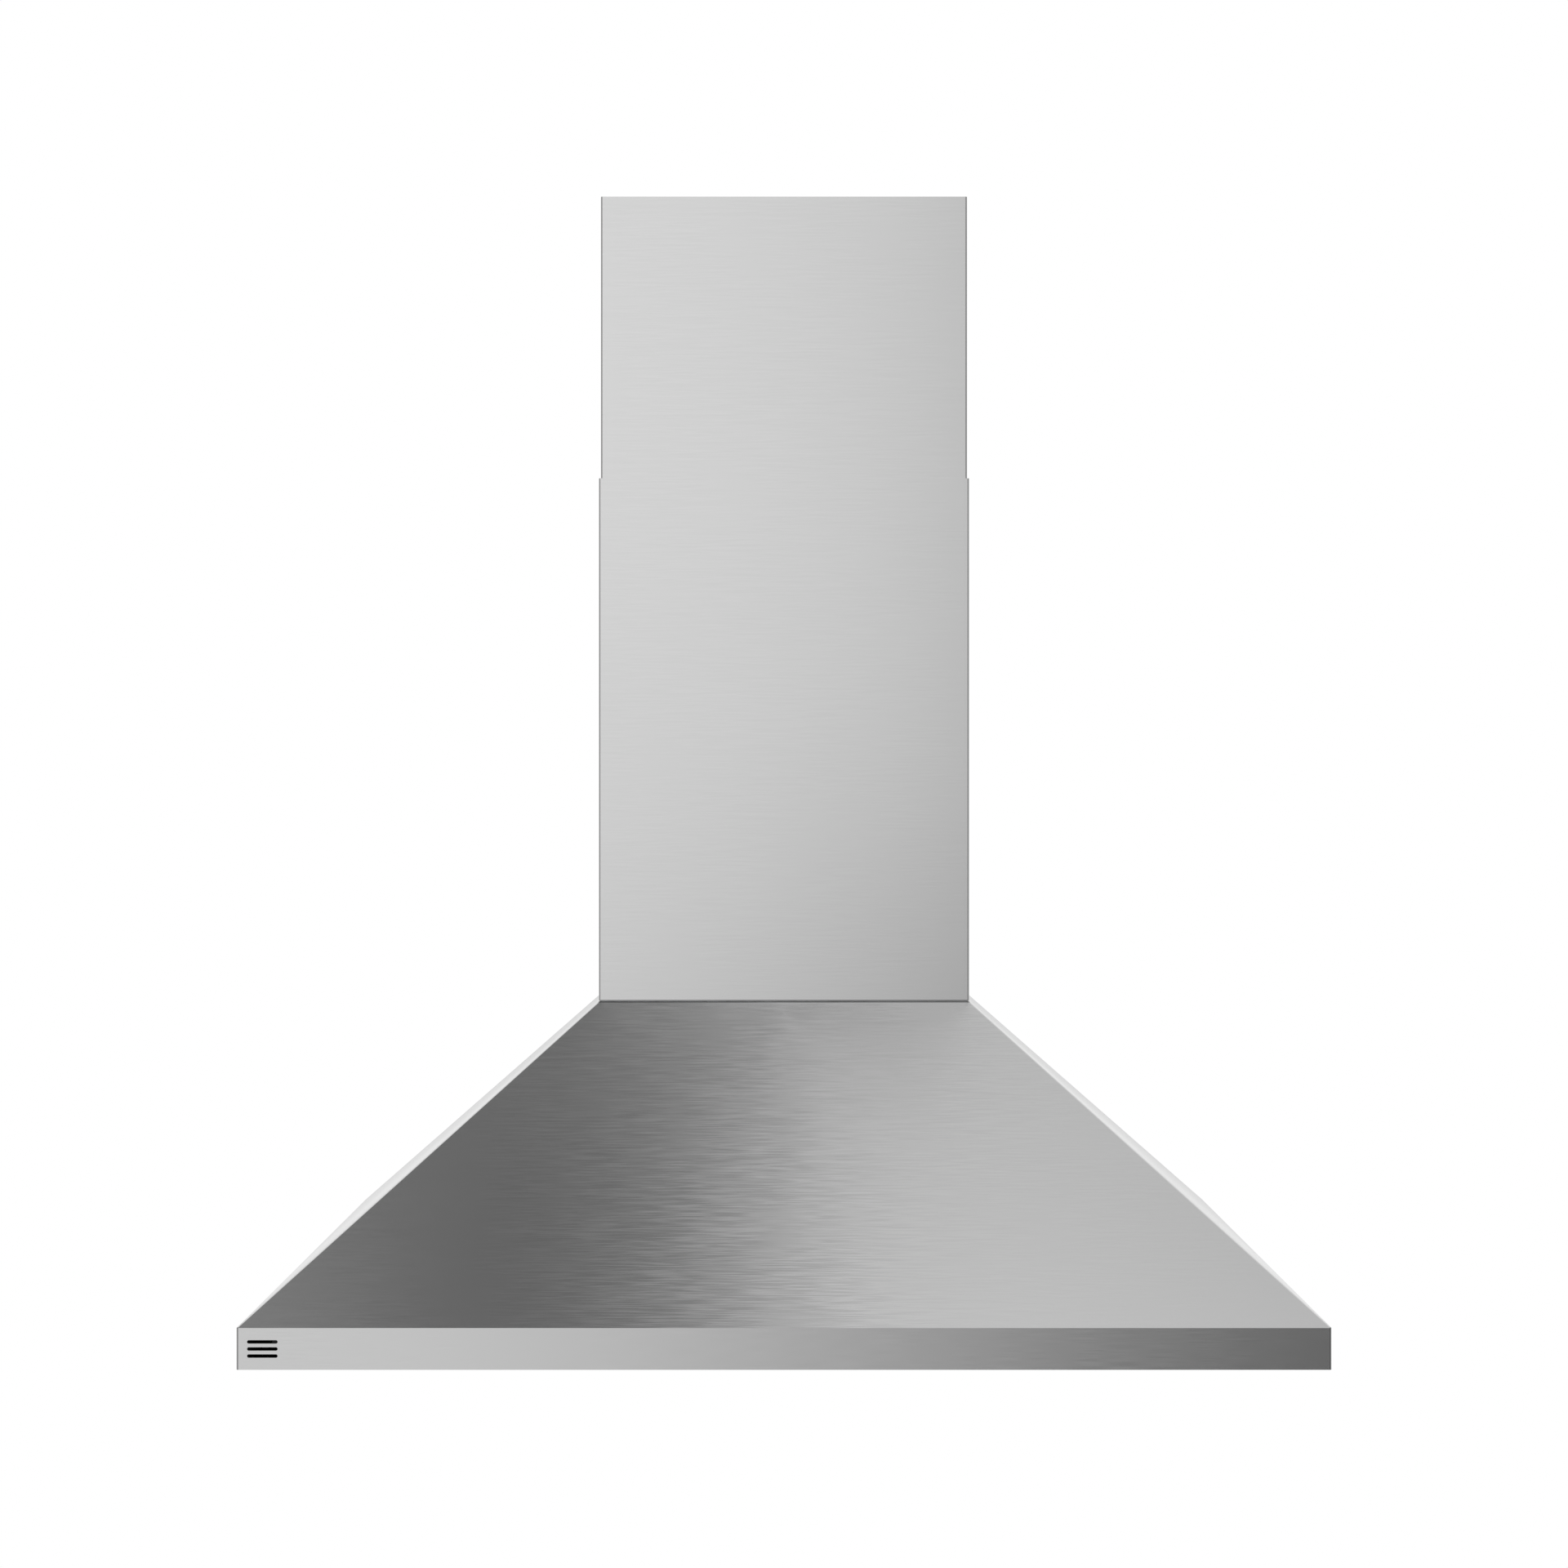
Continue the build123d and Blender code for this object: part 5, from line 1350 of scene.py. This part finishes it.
@dataclass
class FilterSide(SubAssembly):
    """One baffle filter with its latch."""

    side: str
    middle: float
    half_width: float = 165.0
    front_y: float = -370.0
    rear_y: float = -50.0
    underside: float = 4.5
    flange: float = 14.0
    front_flange: float = 40.0
    rivet_size: Pair = (2.3, 0.8)
    front_rivets: tuple[float, ...] = (9, 31)
    rear_rivet: float = 7
    seam_inset: float = 0.8
    seam_half: float = 0.35
    seam_drop: float = 0.22
    seam_rounding: float = 0.1
    mitre_shift: float = 0.2
    rib_count: int = 5
    rib_pitch: float = 2.15
    rib_half: Pair = (8.6, 0.55)
    rib_inset: float = 9.7
    rib_z: Pair = (2.6, 3.2)
    rib_rounding: float = 0.22
    spring_y: Pair = (-345.4, -339.4)
    spring_foot: float = 7.0
    spring_height: float = 5.0
    spring_width: float = 18.0
    spring_folds: int = 4
    spring_leaf: float = 0.3
    spring_rounding: float = 3.0
    spring_keep: float = 0.13

    def add_spring(self) -> None:
        """Folded leaf spring behind the latch."""
        front, rear = self.spring_y
        fold = (rear - front) / self.spring_folds
        feet = [
            (
                self.middle + (-1) ** count * self.spring_width / 2,
                front + fold * count,
                self.spring_foot,
            )
            for count in range(self.spring_folds + 1)
        ]
        strip = folded_strip(feet, self.spring_height, self.spring_leaf, self.spring_rounding)
        name = f"leaf_spring_{self.side}"
        spring = self.add_piece(name, [strip], "bright_steel", f"filter_{self.side}")
        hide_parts(f"latch_spring_{self.side}")
        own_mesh(spring)

    def add_rivets(self) -> None:
        """Rivets in the frame's corners."""
        reach = self.half_width - self.flange / 2
        rows = [*(self.front_y + step for step in self.front_rivets), self.rear_y - self.rear_rivet]
        spots = [(self.middle + way * reach, y, self.underside) for way in (-1, 1) for y in rows]
        heads = at_spots(lambda: rivet_head(*self.rivet_size), Facing.DOWN, spots)
        name = f"frame_rivets_{self.side}"
        self.add_piece(name, heads, "bright_steel", f"filter_{self.side}", Slot.FILTER)

    def seam(self, length: float, spot: Pair, turn: float) -> BMesh:
        """Makes a seam that stands proud of the frame's underside.

        Args:
            length: its length.
            spot: where its middle is.
            turn: how far it is turned from the X axis.

        Returns:
            The form.
        """
        low = (-length / 2, -self.seam_half, -self.seam_drop)
        high = (length / 2, self.seam_half, 0.0)
        pose = Facing.UP.pose((*spot, self.underside)) @ Matrix.Rotation(turn, 4, "Z")
        return moved(rounded_block(low, high, self.seam_rounding, segments=1), pose)

    def add_seams(self) -> None:
        """Folded seams where the frame's members meet: square in front and mitred behind."""
        length = self.flange - self.seam_inset
        joint = self.front_y + self.front_flange
        inwards = (self.flange + self.seam_inset) / 2
        corner = self.flange / 2 + self.mitre_shift
        forms = []
        for way in (-1, 1):
            square = (self.middle + way * (self.half_width - inwards), joint)
            mitre = (self.middle + way * (self.half_width - corner), self.rear_y - corner)
            forms.append(self.seam(length, square, 0.0))
            forms.append(self.seam(length * math.sqrt(2), mitre, way * math.pi / 4))
        name = f"frame_seams_{self.side}"
        self.add_piece(name, forms, "filter_metal", f"filter_{self.side}", Slot.FILTER)

    def add_grip(self) -> None:
        """Ribs on the latch's thumb pad."""
        half_length, half_width = self.rib_half
        foot, top = self.rib_z
        rows = [self.front_y + self.rib_inset + self.rib_pitch * n for n in range(self.rib_count)]
        forms = [
            rounded_block(
                (self.middle - half_length, y - half_width, foot),
                (self.middle + half_length, y + half_width, top),
                self.rib_rounding,
            )
            for y in rows
        ]
        name = f"latch_ribs_{self.side}"
        self.add_piece(name, forms, "dark_plastic", f"latch_{self.side}", Slot.PLASTIC)

    def build(self) -> None:
        """Dresses the filter and adds its details."""
        side = self.side
        self.dress("filter_metal", f"filter_frame_{side}", f"filter_baffles_{side}")
        self.dress("dark_plastic", f"filter_latch_{side}")
        self.add_spring()
        self.add_rivets()
        self.add_seams()
        self.add_grip()


@dataclass
class LampPair(SubAssembly):
    """Two recessed lamps in the under panel."""

    reach: float = 171.0
    y: float = -438.0
    face: float = 13.4
    rim: Pairs = (
        (25.7, 0.4),
        (25.7, -0.3),
        (26.3, -0.85),
        (27.6, -1.1),
        (30.8, -1.0),
        (32.7, -0.55),
        (33.5, 0.1),
        (33.5, 1.3),
        (33.05, 1.3),
        (33.05, 0.0),
        (26.2, 0.0),
        (26.2, 0.4),
    )
    lens_top: float = 17.1
    lens_radius: float = 25.2
    lens_edge: float = 0.4
    lens_side: float = 2.4
    lens_foot: float = 2.7
    lens_crown: float = 1.25
    lens_ring: float = 0.16
    lens_rings: int = 5
    lens_steps: int = 25
    pad_z: float = 36.2
    pad_half: float = 4.6
    pad_height: float = 0.9
    pad_rounding: float = 0.4

    def spots(self, z: float) -> list[Point]:
        """Places on the lamps' axes at a height."""
        return [(way * self.reach, self.y, z) for way in (-1, 1)]

    def add_rims(self) -> None:
        """Polished rims that snap on the flanges."""
        rims = at_spots(lambda: turned(self.rim, steps=72, ring=True), Facing.UP, self.spots(self.face))
        self.add_piece("lamp_rims", rims, "lamp_plating", slot=Slot.LAMP, smooth=50.0)

    def lens(self) -> BMesh:
        """Makes a domed lens with pressed rings, hanging from z = 0.

        Returns:
            The form.
        """
        inner = self.lens_radius - self.lens_edge
        profile = [
            (0.0, 0.0),
            (inner, 0.0),
            (self.lens_radius, -self.lens_edge),
            (self.lens_radius, -self.lens_side),
        ]
        for count in range(self.lens_steps - 1, -1, -1):
            share = count / self.lens_steps
            sag = -self.lens_foot - self.lens_crown * (1 - share**2)
            ridge = self.lens_ring * math.cos(share * self.lens_rings * math.tau)
            profile.append((inner * share, sag + ridge))
        return turned(profile, steps=64)

    def add_glasses(self) -> None:
        """Lenses of the lamps, which stand for the plain ones."""
        lenses = at_spots(self.lens, Facing.UP, self.spots(self.lens_top))
        glasses = self.add_piece(
            "lamp_glasses", lenses, "frosted_glass", slot=Slot.LENS, smooth=60.0
        )
        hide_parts("lamp_lenses")

    def add_pads(self) -> None:
        """Phosphor pads over the light chips."""
        half, height = self.pad_half, self.pad_height
        pads = [
            rounded_block((x - half, y - half, z - height), (x + half, y + half, z), self.pad_rounding)
            for x, y, z in self.spots(self.pad_z)
        ]
        self.add_piece("light_pads", pads, "phosphor", slot=Slot.BOARD)

    def build(self) -> None:
        """Dresses the lamps and adds their rims, glasses and pads."""
        self.dress("lamp_plating", "lamp_housings")
        self.dress("light_board", "light_boards")
        self.add_rims()
        self.add_glasses()
        self.add_pads()


class Mark(Enum):
    """Signs on the buttons: a lamp, a stop ring and one to three speed bars."""

    LIGHT = "light"
    OFF = "off"
    LOW = "low"
    MEDIUM = "medium"
    HIGH = "high"


@dataclass
class Controls(SubAssembly):
    """Push buttons, fascia and board."""

    row_y: float = -464.0
    first_x: float = -350.0
    pitch: float = 18.0
    print_z: float = 0.81
    print_height: float = 0.06
    bulb: Pair = (0.75, 1.2)
    ray_count: int = 8
    ray: tuple[Pair, Pair] = ((1.75, -0.18), (2.6, 0.18))
    stop_ring: Pair = (1.65, 2.1)
    stop_sweep: Pair = (120, 300)
    stop_bar: tuple[Pair, Pair] = ((-0.22, 0.5), (0.22, 2.6))
    speed_pitch: float = 2.2
    speed_half: float = 0.5
    speed_foot: float = -1.8
    speed_top: float = -0.4
    speed_step: float = 1.1
    screw_spots: tuple[Point, ...] = ((-366, -445.5, 3.5), (-262, -445.5, 3.5))
    screw_size: Pair = (2.4, 1.2)

    def bar(self, low: Pair, high: Pair) -> BMesh:
        """Flat bar of a sign, from corner to corner."""
        outline = (low, (high[0], low[1]), high, (low[0], high[1]))
        return flat_plate(outline, self.print_height)

    def sign_forms(self, mark: Mark) -> list[BMesh]:
        """Forms that make up a sign.

        Args:
            mark: which sign.

        Returns:
            Its forms round the origin.
        """
        if mark is Mark.LIGHT:
            turns = [count * math.tau / self.ray_count for count in range(self.ray_count)]
            rays = [moved(self.bar(*self.ray), Matrix.Rotation(turn, 4, "Z")) for turn in turns]
            return [arc_plate(self.bulb, 0, 360, self.print_height), *rays]
        if mark is Mark.OFF:
            ring = arc_plate(self.stop_ring, *self.stop_sweep, self.print_height)
            return [ring, self.bar(*self.stop_bar)]
        bars = {Mark.LOW: 1, Mark.MEDIUM: 2, Mark.HIGH: 3}[mark]
        forms = []
        for count in range(bars):
            x = self.speed_pitch * (count - (bars - 1) / 2)
            top = self.speed_top + self.speed_step * count
            low, high = (x - self.speed_half, self.speed_foot), (x + self.speed_half, top)
            forms.append(self.bar(low, high))
        return forms

    def add_marks(self) -> None:
        """Printed signs, each on its own button."""
        for count, mark in enumerate(Mark):
            pose = Facing.DOWN.pose((self.first_x + count * self.pitch, self.row_y, self.print_z))
            forms = [moved(form, pose) for form in self.sign_forms(mark)]
            name, body = f"{mark.value}_sign", f"{mark.value}_button"
            self.add_piece(name, forms, "button_print", body, Slot.BUTTON)

    def add_screws(self) -> None:
        """Screws that hold the fascia."""
        heads = at_spots(lambda: screw_head(*self.screw_size), Facing.DOWN, self.screw_spots)
        self.add_piece("fascia_screws", heads, "screw_steel")

    def build(self) -> None:
        """Dresses the controls and adds signs and screws."""
        self.dress("dark_plastic", "control_box", "control_bezel")
        self.dress("circuit_board", "control_board")
        self.dress("button_cap", *(f"button_{mark.value}" for mark in Mark))
        self.add_marks()
        self.add_screws()


@dataclass
class Blower(SubAssembly):
    """Scroll, wheel, motor and spider."""

    wheel_y: float = -106.0
    wheel_z: float = 146.0
    motor_radius: float = 42.0
    ring_x: Pair = (20, 56)
    ring_profile: Pairs = ((-0.2, 0.0), (0.5, 0.3), (0.9, 1.2), (0.9, 2.8), (0.5, 3.7), (-0.2, 4.0))
    spider_face: float = 68.0
    screw_circles: Pairs = ((70.0, 0.0), (30.0, 60.0))
    screws_round: int = 3
    screw_size: Pair = (3.2, 2.2)

    def add_motor_rings(self) -> None:
        """Pressed rings round the motor's shell."""
        profile = [(self.motor_radius + proud, z) for proud, z in self.ring_profile]
        spots = [(x, self.wheel_y, self.wheel_z) for x in self.ring_x]
        rings = at_spots(lambda: turned(profile, steps=56, ring=True), Facing.RIGHT, spots)
        self.add_piece("motor_rings", rings, "motor_enamel", slot=Slot.MOTOR)

    def add_screws(self) -> None:
        """Screws in the spider's arms and hub."""
        spots = []
        for radius, first in self.screw_circles:
            for count in range(self.screws_round):
                turn = math.radians(first) + count * math.tau / self.screws_round
                y = self.wheel_y + radius * math.cos(turn)
                z = self.wheel_z + radius * math.sin(turn)
                spots.append((self.spider_face, y, z))
        heads = at_spots(lambda: screw_head(*self.screw_size), Facing.RIGHT, spots)
        self.add_piece("spider_screws", heads, "screw_steel")

    def build(self) -> None:
        """Dresses the blower and adds its details."""
        self.dress("galvanised", "blower_scroll", "back_plate", "inlet_plate", "motor_spider")
        self.dress("wheel_plastic", "impeller")
        self.dress("motor_enamel", "motor_body")
        self.dress("bright_steel", "motor_shaft")
        self.add_motor_rings()
        self.add_screws()


@dataclass
class Outlet(SubAssembly):
    """Square-to-round adapter with its damper."""

    collar_radius: float = 75.0
    bead_at: Point = (0, -120.0, 333.0)
    bead_inset: float = 0.1
    bead_proud: float = 1.5
    bead_half: float = 2.2
    bead_turns: tuple[float, ...] = (0, 0.6, 1.1, 1.57, 2.04, 2.54, 3.14)
    outlet_y: float = -171.7
    flange_top: float = 233.0
    side_screws: Pair = (70.5, 28)
    front_screws: Pair = (45, 46.9)
    screw_size: Pair = (3.1, 2.1)

    def add_bead(self) -> None:
        """Rolled bead round the collar."""
        inner = self.collar_radius - self.bead_inset
        profile = [
            (inner + self.bead_proud * math.sin(turn), -self.bead_half * math.cos(turn))
            for turn in self.bead_turns
        ]
        bead = moved(turned(profile, steps=96, ring=True), Facing.UP.pose(self.bead_at))
        self.add_piece("collar_beads", [bead], "galvanised", slot=Slot.GALVANISED)

    def add_screws(self) -> None:
        """Screws through the adapter's flange, the tray and the blower's lips."""
        side_x, side_y = self.side_screws
        front_x, front_y = self.front_screws
        corners = [(x, y) for x in (-side_x, side_x) for y in (-side_y, side_y)]
        corners += [(x, -front_y) for x in (-front_x, front_x)]
        spots = [(x, self.outlet_y + y, self.flange_top) for x, y in corners]
        heads = at_spots(lambda: screw_head(*self.screw_size), Facing.UP, spots)
        self.add_piece("adapter_screws", heads, "screw_steel")

    def build(self) -> None:
        """Dresses the outlet and adds its details."""
        self.dress("galvanised", "outlet_adapter")
        self.dress("flap_metal", "damper_flap_front", "damper_flap_rear")
        self.dress("bright_steel", "damper_rod")
        self.add_bead()
        self.add_screws()


@dataclass
class TrayWiring(SubAssembly):
    """Junction box and capacitor on the tray."""

    lid_screws: tuple[Point, ...] = ((113.0, -212, 276.2), (113.0, -126, 276.2))
    screw_size: Pair = (3.0, 2.0)
    capacitor_at: Point = (-110.75, -150.0, 282.0)
    capacitor_radius: float = 15.0
    rim: Pairs = ((-1.2, 0.0), (-1.0, 0.9), (-0.4, 1.3), (0.3, 0.9), (0.4, 0.0), (0.0, -1.4))
    cap: Pairs = (
        (0.0, 0.7),
        (4.0, 0.7),
        (4.4, 2.2),
        (7.4, 2.2),
        (7.8, 0.5),
        (13.6, 0.3),
        (13.6, 0.0),
        (0.0, 0.0),
    )
    blade_x: float = 9.8
    blade_half: Pair = (0.4, 3.15)
    blade_z: Pair = (0.3, 8.3)
    blade_rounding: float = 0.25

    def add_lid_screws(self) -> None:
        """Screws at the lid's two ends."""
        heads = at_spots(lambda: screw_head(*self.screw_size), Facing.UP, self.lid_screws)
        self.add_piece("lid_screws", heads, "screw_steel")

    def add_capacitor_top(self) -> None:
        """Rolled rim, insulating cap and blade terminals."""
        place = Facing.UP.pose(self.capacitor_at)
        profile = [(self.capacitor_radius + proud, z) for proud, z in self.rim]
        rim = moved(turned(profile, steps=56, ring=True), place)
        self.add_piece("capacitor_rim", [rim], "can_metal", slot=Slot.CAPACITOR)
        cap = moved(turned(self.cap, steps=40), place)
        self.add_piece("capacitor_cap", [cap], "dark_plastic", slot=Slot.PLASTIC)
        (half_x, half_y), (foot, top) = self.blade_half, self.blade_z
        blades = []
        for x in (-self.blade_x, self.blade_x):
            low, high = (x - half_x, -half_y, foot), (x + half_x, half_y, top)
            blades.append(moved(rounded_block(low, high, self.blade_rounding, segments=1), place))
        self.add_piece("capacitor_blades", blades, "bright_steel")

    def build(self) -> None:
        """Dresses the wiring parts and adds their details."""
        self.dress("galvanised", "junction_box", "junction_lid")
        self.dress("can_metal", "capacitor")
        self.add_lid_screws()
        self.add_capacitor_top()


def main() -> None:
    """Builds the scene."""
    logging.basicConfig(level=logging.INFO, format="%(message)s")
    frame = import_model()
    Studio().build()
    finishes = Finishes()
    finishes.build()
    nodes = frame["nodes"]
    for part in (
        Canopy(nodes, finishes),
        Chimney(nodes, finishes),
        FilterSide(nodes, finishes, "left", -171.0),
        FilterSide(nodes, finishes, "right", 171.0),
        LampPair(nodes, finishes),
        Controls(nodes, finishes),
        Blower(nodes, finishes),
        Outlet(nodes, finishes),
        TrayWiring(nodes, finishes),
    ):
        part.build()
        log.info("%s done", type(part).__name__)


if __name__ == "__main__":
    main()
